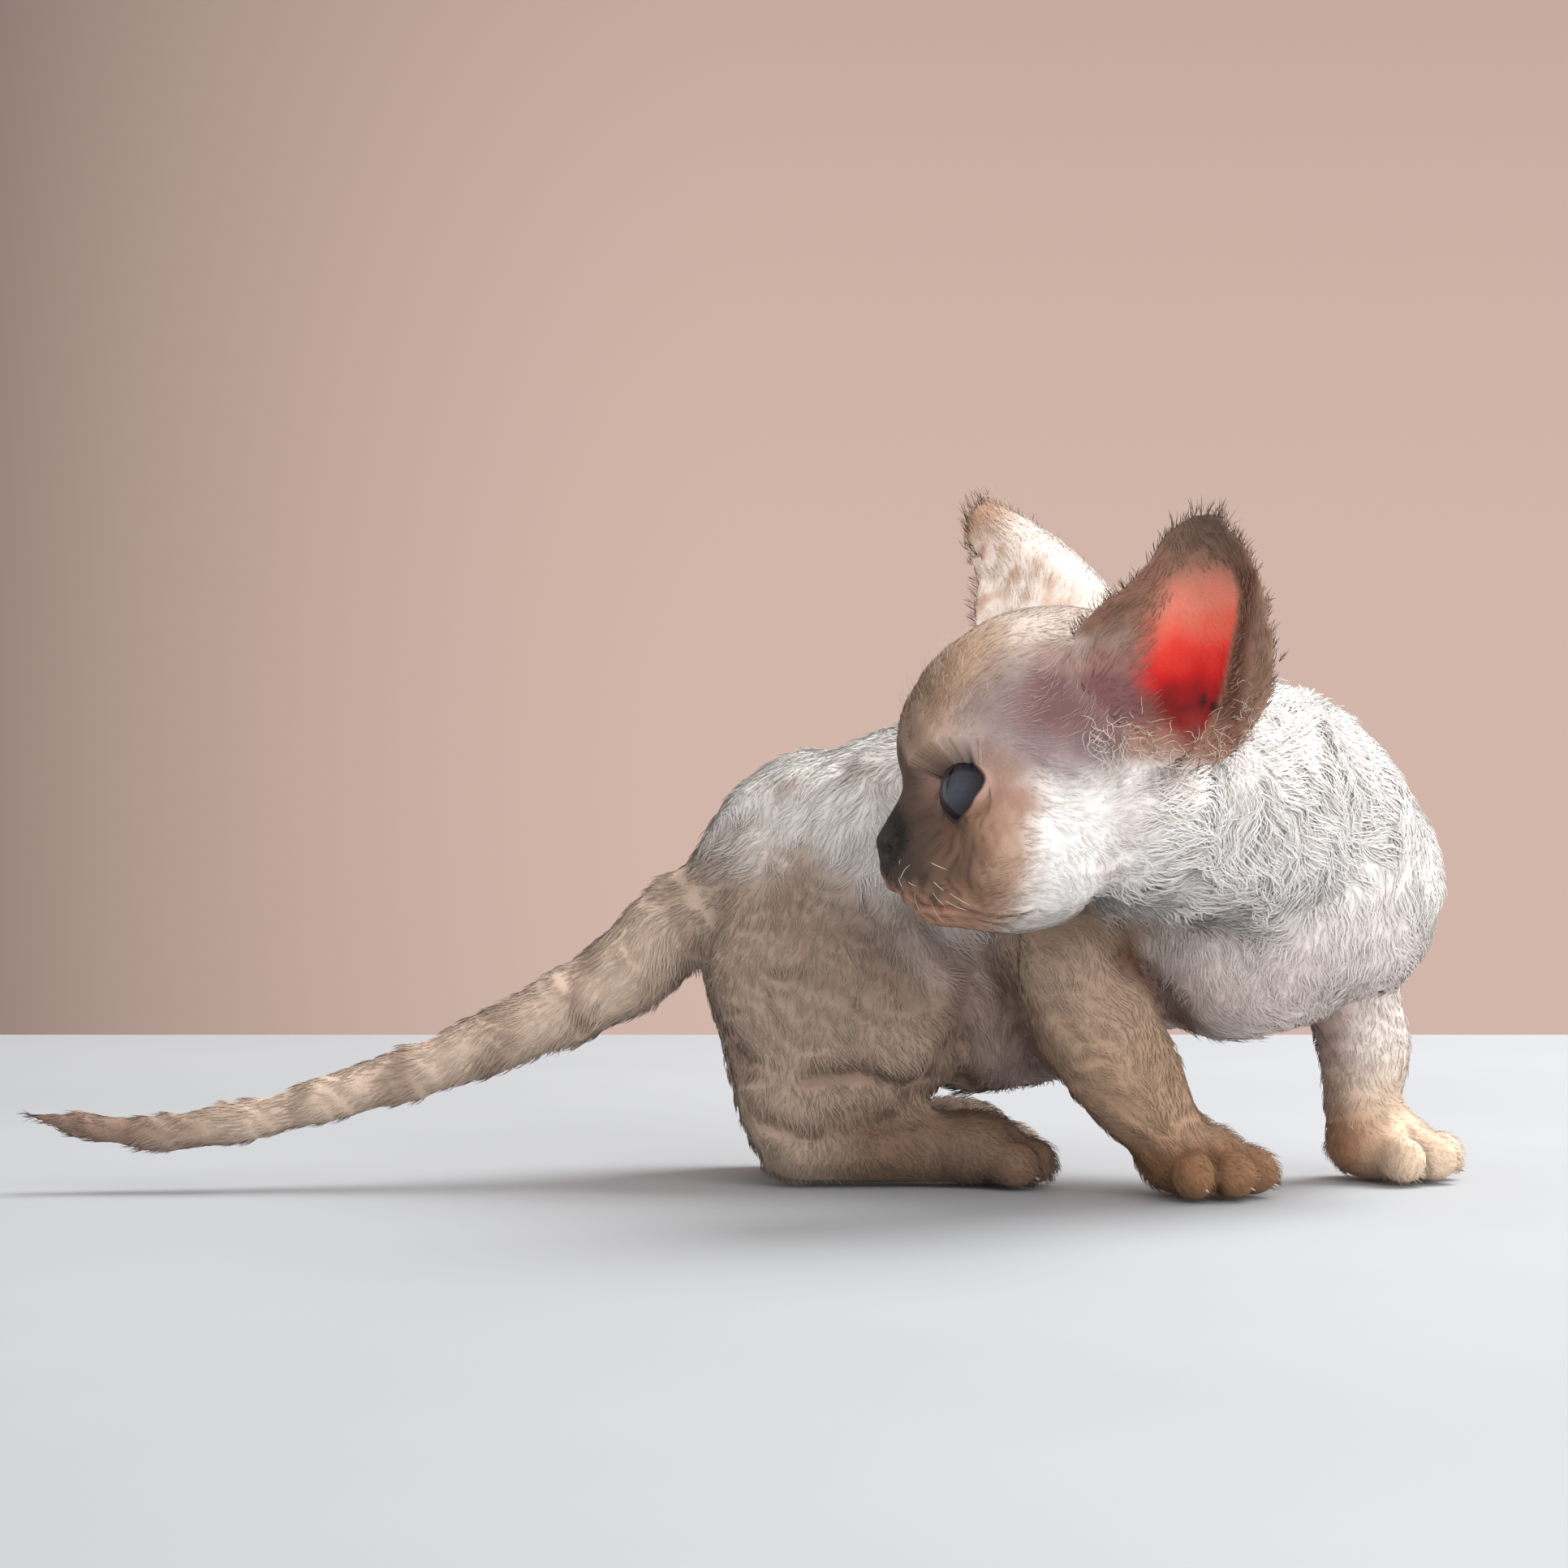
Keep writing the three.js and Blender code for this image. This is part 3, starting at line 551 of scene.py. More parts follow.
def body_colour(places, shares):
    waves = soft_noise(places, 14, 3)
    ripple = soft_noise(places * (1, 1, 2.2), 7, 5)
    colour = np.tile(WHITE, (len(places), 1))
    # The white grows darker and pinker towards the bottom: partly the pink skin showing through, partly
    # painted warm shade.
    colour = mix(colour, 0.7 * fade(places[:, 2], 74, 44), tone(236, 218, 210))
    slope = places[:, 2] + 0.35 * places[:, 0]
    rump = fade(slope + 3 * waves, 86, 58) * fade(places[:, 0], 84, 52)
    colour = mix(colour, rump, GREY_BEIGE)
    colour = mix(colour, rump * np.clip(0.45 * ripple + 0.12, 0, 0.5), DARK_GREY)
    colour = mix(colour, np.clip(0.10 * ripple, 0, 0.2) * (1 - rump), GREY_BEIGE)
    colour = mix(colour, rump * np.clip(0.14 * ridges(places), 0, 0.14), WHITE)
    belly = fade(places[:, 2], 60, 40) * fade(np.abs(places[:, 0] - 50), 24, 10)
    colour = mix(colour, 0.75 * belly * shares_of(shares, "torso"), BELLY_MAUVE)
    for spot in BACK_SPOTS:
        away = np.linalg.norm((places[:, [0, 2]] - spot) / (4.2, 2.2), axis=1)
        near = fade(places[:, 1], 45, 20)
        colour = mix(colour, 0.5 * (1 - fade(away, 0.4, 1.5)) * near, tone(150, 122, 106))
    return colour


def limb_colour(places, shares, colour):
    height = places[:, 2]
    bars = 0.5 + 0.5 * ridges(places)
    near_fore = shares_of(shares, "foreleg_right", "forepaw_right")
    colour = mix(colour, near_fore, tone(174, 149, 130))
    colour = mix(colour, near_fore * fade(height, 50, 20), TAN)
    colour = mix(colour, near_fore * fade(height, 17, 8), tone(146, 108, 78))
    colour = mix(colour, near_fore * 0.3 * (1 - bars) * fade(height, 10, 20), TAUPE)
    # Painted shade: a dark brown line along the crease between the near foreleg and the chest.
    painted_armpit_shade = np.exp(-(line_distance(places[:, [0, 2]], ARMPIT_SHADE_LINE) / 3.4) ** 2)
    colour = mix(colour, 0.8 * painted_armpit_shade * shares_of(shares, "foreleg_right", "torso", "neck"), tone(112, 76, 56))
    far_fore = shares_of(shares, "foreleg_left", "forepaw_left")
    colour = mix(colour, far_fore, tone(242, 230, 222))
    colour = mix(colour, far_fore * fade(height, 34, 14), tone(232, 206, 180))
    colour = mix(colour, far_fore * 0.15 * bars * fade(height, 10, 20), TAN)
    colour = mix(colour, 0.8 * far_fore * fade(places[:, 0], 136, 123), tone(160, 120, 102))
    heel = far_fore * fade(places[:, 0], 143, 129) * fade(height, 22, 10)
    colour = mix(colour, 0.8 * heel, tone(172, 120, 86))
    hind = shares_of(shares, "hind_leg_right", "hind_leg_left", "hind_foot_right", "hind_foot_left")
    colour = mix(colour, hind, tone(174, 152, 136))
    foot = shares_of(shares, "hind_foot_right", "hind_foot_left") * fade(places[:, 0], 8, 26)
    colour = mix(colour, foot, tone(122, 98, 82))
    colour = mix(colour, hind * 0.25 * (1 - bars) * fade(height, 8, 18), TAUPE)
    # Painted shade: the coat is darker along the folds of the near side, where the creases lie in shade.
    painted_crease_shade = np.zeros(len(places))
    for line, depth, width in FOLDS:
        away = line_distance(places[:, [0, 2]], line)
        painted_crease_shade = np.maximum(painted_crease_shade, np.exp(-(away / width) ** 2) * min(depth, 2) / 2)
    near_side = fade(places[:, 1], 30, 18) * (1 - shares_of(shares, *HEAD_PARTS))
    colour = mix(colour, 0.5 * painted_crease_shade * near_side, tone(104, 76, 62))
    tail = shares_of(shares, "tail_root", "tail_middle", "tail_tip")
    rings = 0.5 + 0.5 * np.sin(places[:, 0] * 0.3 + 0.8 * soft_noise(places, 20, 13))
    colour = mix(colour, tail, tone(204, 181, 163))
    colour = mix(colour, tail * fade(places[:, 0], -112, -138), tone(140, 115, 100))
    colour = mix(colour, tail * 0.55 * fade(rings, 0.6, 1.0), tone(140, 116, 100))
    # Painted shade: the clefts between the toes are darkened to a deep brown.
    for name in PAWS:
        reach, _, height = on_paw(places, name)
        painted_cleft_shade = toe_gap(places, name) * (reach < 24) * (height < 16) * shares_of(shares, name)
        colour = mix(colour, 0.8 * painted_cleft_shade, tone(78, 52, 38))
    return colour


SNOUT_FORWARD = (6, 10.5, 15.5, 20, 23.5, 26.5, 29.5, 33)
SNOUT_TONES = np.array([
    tone(226, 214, 206), tone(206, 184, 168), tone(186, 152, 130), tone(146, 110, 88),
    tone(120, 90, 72), tone(94, 72, 58), tone(70, 54, 44), tone(56, 44, 38),
])
# Soft patches laid over one another, with both sides of the head alike: the middle and half size of
# each along the head's own directions, how soft its edge is, its strength and its colour.
FOREHEAD_PATCHES = {
    "forehead": ((26, 0, 10), (15, 18, 23), 0.45, 1.0, tone(190, 157, 131)),
    "between_eyes": ((29, 0, -4), (12, 10, 22), 0.4, 1.0, tone(142, 116, 98)),
}
SIDE_PATCHES = {
    "beside_nose": ((28, 7, -14), (7, 9, 8), 0.5, 0.6, tone(84, 62, 50)),
    "outer_corner": ((13.5, 21, -10), (5, 9, 2.6), 0.6, 0.6, tone(150, 106, 90)),
    "lips": ((26, 0, -36.5), (13, 15, 7), 0.5, 0.9, tone(188, 142, 116)),
    "temple": ((3, 24, 8), (23, 15, 11), 0.6, 1.0, TEMPLE_MAUVE),
    "before_ear": ((-12, 22, 4), (11, 14, 8), 0.45, 1.0, tone(112, 88, 88)),
    "brow_end": ((12, 20, 4), (11, 11, 9), 0.6, 0.55, tone(158, 132, 130)),
}
LAST_PATCHES = {
    "bridge": ((33, 0, -12), (8, 6.5, 11), 0.4, 0.85, tone(70, 53, 43)),
    "under_ear": ((-22, 22, -5), (9, 12, 5.5), 0.4, 0.9, tone(146, 100, 80)),
}


def lay_patches(patches, colour, local, head):
    for centre, size, edge, strength, patch_tone in patches.values():
        colour = mix(colour, strength * head * patch(local, centre, size, edge), patch_tone)
    return colour


def head_colour(places, shares, colour):
    local = on_head(places)
    folded = fold_over(local)
    head = shares_of(shares, "head")
    speckle = soft_noise(places, 2.6, 19)
    ragged = folded + (1.2 * soft_noise(places, 9, 17) + 0.5 * speckle)[:, None]
    colour = mix(colour, 0.9 * head * fade(local[:, 2], 2, 16), tone(206, 187, 174))
    colour = lay_patches(FOREHEAD_PATCHES, colour, ragged, head)
    snout_share = head * fade(ragged[:, 2], -3, -11) * fade(local[:, 0], 8, 14)
    colour = mix(colour, snout_share, tones_along(ragged[:, 0], SNOUT_FORWARD, SNOUT_TONES))
    colour = lay_patches(SIDE_PATCHES, colour, ragged, head)
    for side in (1, -1):
        distance, _, reach = lid_reach(places, side)
        ring = fade(reach, 3.2, 1.6) * fade(distance, 19, 12)
        colour = mix(colour, 0.8 * head * ring * fade(local[:, 2], -16, -8), tone(182, 142, 124))
        rim = fade(reach, 1.16, 1.05) * (distance < 13)
        colour = mix(colour, head * rim, tone(58, 42, 42))
    colour = lay_patches(LAST_PATCHES, colour, ragged, head)
    colour = mix(colour, head * patch(folded, (35, 0, -20.8), (6.6, 7.0, 7.2), 0.22), NOSE_BLACK)
    freckles = np.clip(speckle - 0.45, 0, 0.5) * snout_share * fade(local[:, 0], 16, 24)
    colour = mix(colour, freckles, tone(60, 44, 34))
    seam = np.full(len(places), 99.0)
    rows = np.flatnonzero(head > 0.2)
    seam[rows] = mouth_distance(local[rows])
    return mix(colour, 0.6 * head * (1 - fade(seam, 0.4, 1.6)), tone(112, 66, 56))


def ear_colour(places, shares, colour):
    for name in ("ear_left", "ear_right"):
        across, height, depth = on_ear(places, name).T
        ear = shares_of(shares, name)
        blotch = 0.5 + 0.5 * soft_noise(places, 5, 23)
        if name == "ear_left":
            colour = mix(colour, ear, tone(152, 112, 94))
            colour = mix(colour, ear * fade(across, -6, -14) * (0.3 + 0.7 * blotch), tone(124, 98, 80))
            colour = mix(colour, ear * fade(height, 22, 38), tone(112, 90, 76))
            colour = mix(colour, ear * fade(height, 35, 42), tone(74, 58, 48))
            colour = mix(colour, ear * fade(across, 14, 16.5), tone(166, 134, 114))
            mauve = np.maximum(ear, shares_of(shares, "head")) * fade(np.abs(depth), 16, 9)
            band = fade(across, -32, -24) * fade(across, 1, -6) * fade(height, -9, -3)
            colour = mix(colour, 0.7 * mauve * band * fade(height, 13, 6), tone(156, 116, 110))
            colour = mix(colour, 0.85 * mauve * band * fade(height, 6, 3), tone(116, 82, 84))
            corner = mauve * fade(height, -5, -9) * fade(np.abs(across - 4), 16, 10)
            colour = mix(colour, 0.8 * corner, tone(166, 128, 108))
            colour = mix(colour, corner * fade(height, -10, -14), WHITE)
        else:
            colour = mix(colour, ear, tone(238, 224, 214))
            mottle = np.clip(blotch * 1.4 - 0.4, 0, 1) * fade(across, 4, -6)
            colour = mix(colour, 0.75 * ear * mottle, tone(186, 146, 120))
            colour = mix(colour, ear * fade(height, 26, 36), tone(168, 132, 110))
    return colour


def markings(places, shares):
    colour = body_colour(places, shares)
    colour = limb_colour(places, shares, colour)
    colour = head_colour(places, shares, colour)
    return np.clip(ear_colour(places, shares, colour), 0, 1)


CUP_FRONT = ((-9, 4.5), (-3, -2), (3.6, -5), (13, -3.8), (23, -2), (30, 3), (34, 8))
CUP_BACK = ((-9, 6.5), (-4, 9), (2, 11), (18, 12), (23, 11.8), (30, 8.8), (34, 8))


def cup_edge(line, height):
    heights, edges = np.array(line, float).T
    return np.interp(height, heights, edges)


def cup_share(across, height):
    """1 on the bare part of the cup, soft towards the front and sharp along the fold behind."""
    front = cup_edge(CUP_FRONT, height)
    back = cup_edge(CUP_BACK, height)
    share = fade(across - front, -5.0, 3.0) * fade(across - back, 0.5, -0.5)
    return share * fade(height, 33, 23) * fade(height, -11, -8)


# Colours of the bare cup by height: the dark red low down is painted shade in the canal, the bright red and
# coral above are painted light coming through the thin hide, and the pale coral at the top is the hide's own
# colour.
CUP_HEIGHTS = (-9, -5, -1.6, 1.6, 5, 10, 14.5, 19.5, 24, 29)
CUP_HIDE_GLOW_AND_SHADE = np.array([
    tone(132, 70, 62), tone(140, 30, 30), tone(112, 8, 10), tone(156, 4, 8), tone(204, 16, 14),
    tone(232, 62, 48), tone(236, 104, 84), tone(232, 134, 112), tone(214, 132, 110), tone(186, 130, 108),
])


def paint_ear_cups(places, normals, shares, colour):
    """Thin bare hide inside each cup, its colour painted with the light that comes through it in coral and
    with the canal's shade in deep red.
    """
    for name in ("ear_left", "ear_right"):
        across, height, _ = on_ear(places, name).T
        opening = np.array(EAR_AXES[name][2])
        inside = fade(normals @ opening, 0.0, 0.3) * fade(shares_of(shares, name), 0.3, 0.6)
        cup = inside * cup_share(across, height)
        wander = height + 1.3 * soft_noise(places, 7, 27) - 0.25 * (across - 4)
        colour = mix(colour, cup, tones_along(wander, CUP_HEIGHTS, CUP_HIDE_GLOW_AND_SHADE))
        # Painted shadow: two near-black red spots deep in the canal.
        for spot in ((7.5, 0.0), (9.6, -0.8)):
            away = np.hypot(across - spot[0], height - spot[1])
            colour = mix(colour, inside * (1 - fade(away, 0.5, 1.3)), tone(34, 6, 8))
        # Painted shade: a dark brown band just behind the sharp fold along the cup's back edge, where no
        # groove is shaped.
        behind = across - cup_edge(CUP_BACK, height)
        painted_fold_shade = inside * fade(behind, 0.2, 0.9) * fade(height, -6, 0) * fade(height, 32, 26)
        colour = mix(colour, 0.9 * painted_fold_shade * fade(across, 16, 13.5), tone(80, 44, 30))
    return colour


skin_colour = markings(skin_places, shares)
skin_colour = paint_ear_cups(skin_places, skin_normals, shares, skin_colour)


def store_colour(mesh, name, colour):
    attribute = mesh.attributes.new(name, "FLOAT_COLOR", "POINT")
    full = np.concatenate([colour, np.ones((len(colour), 1))], axis=1)
    attribute.data.foreach_set("color", full.ravel())


def store_value(mesh, name, values):
    attribute = mesh.attributes.new(name, "FLOAT", "POINT")
    attribute.data.foreach_set("value", values)


store_colour(skin.data, "marking", skin_colour)
NOSE_LEATHER = (4.6, 4.4, 4.6)
nose_wet = shares_of(shares, "head") * patch(fold_over(on_head(skin_places)), NOSE_TIP, NOSE_LEATHER, 0.25)
store_value(skin.data, "moist", nose_wet)


class Value:
    """A node socket that takes part in Python sums, each of which adds its Math node."""

    def __init__(self, sheet, socket):
        self.sheet = sheet
        self.socket = socket

    def sum_with(self, operation, first, second):
        return self.sheet.node("ShaderNodeMath", {"operation": operation}, {0: first, 1: second})

    def __add__(self, other):
        return self.sum_with("ADD", self, other)

    def __radd__(self, other):
        return self.sum_with("ADD", other, self)

    def __sub__(self, other):
        return self.sum_with("SUBTRACT", self, other)

    def __rsub__(self, other):
        return self.sum_with("SUBTRACT", other, self)

    def __mul__(self, other):
        return self.sum_with("MULTIPLY", self, other)

    def __rmul__(self, other):
        return self.sum_with("MULTIPLY", other, self)


class Finish:
    """One material, with its shader and the nodes that feed it."""

    def __init__(self, name, **constants):
        self.material = bpy.data.materials.new(name)
        self.material.use_nodes = True
        self.tree = self.material.node_tree
        self.shader = self.tree.nodes["Principled BSDF"]
        for socket, value in constants.items():
            self.shader.inputs[socket.replace("_", " ")].default_value = value

    def node(self, kind, settings=None, sockets=None, output=0):
        made = self.tree.nodes.new(kind)
        for name, value in (settings or {}).items():
            if name == "stops":
                ramp = made.color_ramp
                while len(ramp.elements) < len(value):
                    ramp.elements.new(0.5)
                for element, (place, colour) in zip(ramp.elements, value):
                    element.position = place
                    element.color = colour
            else:
                setattr(made, name, value)
        for name, value in (sockets or {}).items():
            if isinstance(value, Value):
                self.tree.links.new(value.socket, made.inputs[name])
            else:
                made.inputs[name].default_value = value
        return Value(self, made.outputs[output])

    def feed(self, socket, value):
        self.tree.links.new(value.socket, self.shader.inputs[socket])

    def places(self):
        return self.node("ShaderNodeTexCoord", output="Object")

    def attribute(self, name, output="Color"):
        return self.node("ShaderNodeAttribute", {"attribute_name": name}, output=output)

    def noise(self, scale, detail=2.0):
        sockets = {"Vector": self.places(), "Scale": scale, "Detail": detail}
        return self.node("ShaderNodeTexNoise", sockets=sockets, output="Fac")

    def tinted(self, colour, brightness):
        settings = {"data_type": "RGBA", "blend_type": "MULTIPLY"}
        grey = self.node("ShaderNodeCombineXYZ", sockets={0: brightness, 1: brightness, 2: brightness})
        return self.node("ShaderNodeMix", settings, {0: 1.0, 6: colour, 7: grey}, output=2)

    def bump(self, height, strength, distance):
        sockets = {"Height": height, "Strength": strength, "Distance": distance}
        self.feed("Normal", self.node("ShaderNodeBump", sockets=sockets, output="Normal"))


hide = Finish("kitten_hide", Roughness=0.62, Subsurface_Weight=0.12, Subsurface_Scale=0.002)
hide.shader.inputs["Subsurface Radius"].default_value = (1.0, 0.35, 0.25)
pores = hide.noise(900.0, 3.0)
blotches = hide.noise(160.0, 2.0)
hide.feed("Base Color", hide.tinted(hide.attribute("marking"), 0.86 + 0.16 * pores + 0.12 * blotches))
hide.feed("Roughness", 0.66 - 0.24 * hide.attribute("moist", "Fac"))
hide.bump(pores + hide.noise(2600.0, 1.0) * 0.5, 0.35, 0.0006)
skin.data.materials.clear()
skin.data.materials.append(hide.material)
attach(skin, "root")
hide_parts(*FLESH_NAMES)

# Eyes
# Each is a glossy ball behind the lids, with a bulging front, a grey-blue iris and a slit pupil.
# The near one looks ahead and a little up.
NEAR_GAZE = unit(np.array((-0.744, -0.57, 0.353)))
IRIS_REACH = 7.2
FRONT_BULGE = 1.1
PUPIL_HALF = (0.55, 2.6)
PUPIL_ASIDE = 0.2


def make_eye(name, node, middle, gaze):
    bpy.ops.object.select_all(action="DESELECT")
    bpy.ops.mesh.primitive_uv_sphere_add(segments=64, ring_count=40, radius=EYE_RADIUS * MM)
    eye = bpy.context.view_layer.objects.active
    eye.name = name
    eye.data.name = name
    places = places_of(eye.data)
    front = fade(places[:, 2], 3.2, EYE_RADIUS)
    places[:, 2] += FRONT_BULGE * front
    sideways = unit(np.cross((0, 0, 1), gaze))
    upward = np.cross(gaze, sideways)
    axes = np.stack([sideways, upward, gaze])
    reach = np.linalg.norm(places[:, :2], axis=1)
    set_places(eye.data, places @ axes + middle)
    store_value(eye.data, "from_pupil", np.where(places[:, 2] > 0, reach / IRIS_REACH, 1.5))
    store_value(eye.data, "pupil_across", places[:, 0])
    store_value(eye.data, "pupil_up", places[:, 1])
    bpy.ops.object.shade_smooth()
    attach(eye, "root")
    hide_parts(node)
    return eye


glassy = Finish("eye_glass", Roughness=0.3, Coat_Weight=0.7, Coat_Roughness=0.02)
glassy.shader.inputs["Specular IOR Level"].default_value = 0.05
ring = glassy.attribute("from_pupil", "Fac")
iris_stops = [
    (0.0, (0.026, 0.029, 0.04, 1)), (0.3, (0.045, 0.05, 0.068, 1)), (0.55, (0.036, 0.038, 0.052, 1)),
    (0.78, (0.015, 0.013, 0.018, 1)), (0.95, (0.006, 0.005, 0.007, 1)),
]
iris = glassy.node("ShaderNodeValToRGB", {"stops": iris_stops}, {0: ring}, output="Color")
across = (glassy.attribute("pupil_across", "Fac") + PUPIL_ASIDE) * (1 / PUPIL_HALF[0])
along = glassy.attribute("pupil_up", "Fac") * (1 / PUPIL_HALF[1])
slit = across * across + along * along
slit_stops = [(0.0, (0, 0, 0, 1)), (0.42, (0, 0, 0, 1)), (0.56, (1, 1, 1, 1))]
outside_slit = glassy.node("ShaderNodeValToRGB", {"stops": slit_stops}, {0: slit * 0.5}, output="Color")
fibres = glassy.noise(1100.0, 4.0)
# Painted reflection and shade: the iris is paler in its lower half, where the pale floor is reflected, and
# darker at the top under the lid.
painted_reflection_and_lid_shade = 0.7 - 0.15 * glassy.attribute("pupil_up", "Fac")
glassy.feed("Base Color", glassy.tinted(glassy.tinted(iris, painted_reflection_and_lid_shade + 0.5 * fibres), outside_slit))
for name, middle, gaze in (
    ("eye_left", left_eye, NEAR_GAZE),
    ("eye_right", right_eye, NEAR_GAZE - 2 * (NEAR_GAZE @ head_side) * head_side),
):
    make_eye(name + "_ball", name, middle, gaze).data.materials.append(glassy.material)

# Coat
# Short, soft, wavy hair in locks that lie back along the body: curled and fluffy on the neck, chest
# and back, close on the legs and tail, and downy on the face. Each lock is a thin closed spindle.
BAKE_PATCH = 0.003
LIE_GUIDES = [
    # Where on the kitten, and which way the hair lies there
    ((-160, 3, 14), (-1, 0, 0)), ((-110, 8, 20), (-1, 0, -0.2)), ((-60, 18, 34), (-0.9, 0, -0.4)),
    ((-22, 30, 62), (-0.8, 0, -0.6)), ((0, 10, 80), (-0.8, -0.2, -0.6)), ((5, 0, 50), (-0.5, -0.2, -0.9)),
    ((45, 20, 106), (-1, -0.1, -0.1)), ((40, -6, 70), (-0.8, -0.2, -0.6)), ((40, 25, 25), (-1, 0, 0)),
    ((0, 60, 70), (-0.7, 0.2, -0.7)), ((50, 55, 70), (-0.8, 0.2, -0.6)), ((100, 45, 80), (-0.6, 0.3, -0.8)),
    ((140, 5, 90), (0.2, -0.1, -1)), ((145, 0, 60), (-0.2, -0.1, -1)), ((120, -25, 60), (-0.3, -0.2, -1)),
    ((125, -20, 95), (0.4, -0.1, -0.9)), ((100, -40, 80), (0.5, 0, -0.8)), ((95, -10, 110), (0.8, 0.3, -0.4)),
    ((30, 13, 30), (0.2, 0, -1)), ((0, 13, 20), (-0.2, 0, -1)), ((40, 14, 12), (1, 0, -0.4)),
    ((60, -8, 50), (0.1, -0.2, -1)), ((75, -12, 25), (0.3, -0.1, -1)), ((95, -2, 10), (0.9, -0.3, -0.3)),
    ((125, 28, 45), (0.1, 0, -1)), ((130, 28, 22), (0.1, 0, -1)), ((143, 28, 10), (0.95, -0.1, -0.3)),
    ((45, 53, 12), (1, 0, -0.4)), ((10, 58, 40), (0, 0.1, -1)),
]
HEAD_GUIDES = [
    ((36, 0, -16), (-0.6, 0, 1)), ((26, 0, 8), (-0.3, 0, 1)), ((10, 0, 26), (-1, 0, 0.4)),
    ((-14, 0, 26), (-1, 0, -0.3)), ((26, 10, -4), (-0.4, 0.3, 0.8)), ((14, 20, -18), (-1, 0.4, -0.3)),
    ((24, 10, -28), (-0.9, 0.6, -0.2)), ((26, 0, -38), (-0.8, 0.3, -0.5)), ((2, 24, -26), (-0.9, 0.1, -0.5)),
    ((0, 24, 8), (-0.9, 0.1, 0.3)), ((-16, 20, -10), (-1, 0.1, -0.4)), ((5, 12, -40), (-1, 0.2, -0.1)),
    ((-26, 8, 4), (-0.4, 0, -1)), ((14, 14, 14), (-0.7, 0.5, 0.7)),
]


def all_guides():
    spots = [np.array(spot, float) for spot, _ in LIE_GUIDES]
    aims = [unit(np.array(aim, float)) for _, aim in LIE_GUIDES]
    for spot, aim in HEAD_GUIDES:
        for side in ((1, -1) if spot[1] else (1,)):
            flip = np.array((1, side, 1))
            spots.append(from_head(np.array(spot) * flip))
            aims.append(unit((np.array(aim) * flip) @ head_axes))
    for name in ("ear_left", "ear_right"):
        up = np.array(EAR_AXES[name][1])
        for height in (0, 15, 30):
            spots.append(ear_root(name) + height * up)
            aims.append(unit(up))
    return np.array(spots), np.array(aims)


GUIDE_SPOTS, GUIDE_AIMS = all_guides()


def lie_of(places, normals):
    away = np.linalg.norm(places[:, None, :] - GUIDE_SPOTS[None], axis=2)
    weight = 1 / (away + 4) ** 3
    lie = weight @ GUIDE_AIMS
    lie = lie - np.sum(lie * normals, axis=1, keepdims=True) * normals
    return unit(lie)


def skin_samples(spacing_of, seed, per_mm):
    """Even, random places over the skin, each with its normal, part shares and place on the unwrap."""
    mesh = skin.data
    mesh.calc_loop_triangles()
    count = len(mesh.loop_triangles)
    corners = rows_of(mesh.loop_triangles, "vertices", 3, np.int64)
    loops = rows_of(mesh.loop_triangles, "loops", 3, np.int64)
    unwrap = rows_of(mesh.uv_layers["OFBake"].data, "uv", 2)
    a, b, c = (skin_places[corners[:, i]] for i in range(3))
    area = np.linalg.norm(np.cross(b - a, c - a), axis=1) / 2
    draw = np.random.default_rng(seed)
    total = int(area.sum() * per_mm)
    picks = np.searchsorted(np.cumsum(area), draw.uniform(0, area.sum(), total))
    picks = np.minimum(picks, count - 1)
    first = draw.uniform(0, 1, total)
    second = draw.uniform(0, 1, total)
    flip = first + second > 1
    first[flip] = 1 - first[flip]
    second[flip] = 1 - second[flip]
    blend = np.stack([1 - first - second, first, second], axis=1)[:, :, None]
    rows = corners[picks]
    places = np.sum(skin_places[rows] * blend, axis=1)
    normals = unit(np.sum(skin_normals[rows] * blend, axis=1))
    part = np.sum(shares[rows] * blend, axis=1)
    root_uv = np.sum(unwrap[loops[picks]] * blend, axis=1)
    spacing = spacing_of(places, normals, part)
    cells = np.floor(places / spacing[:, None]).astype(np.int64)
    size = np.round(spacing * 20).astype(np.int64)
    key = ((cells[:, 0] * 73856093) ^ (cells[:, 1] * 19349663) ^ (cells[:, 2] * 83492791)) + size * 7
    _, keep = np.unique(key, return_index=True)
    keep = np.sort(keep[spacing[keep] < 50])
    return places[keep], normals[keep], part[keep], root_uv[keep]


# Each lock is shaded like the fur under it, with a little of its own roundness, so that it looks soft.
LOCK_ROUNDNESS = 0.22


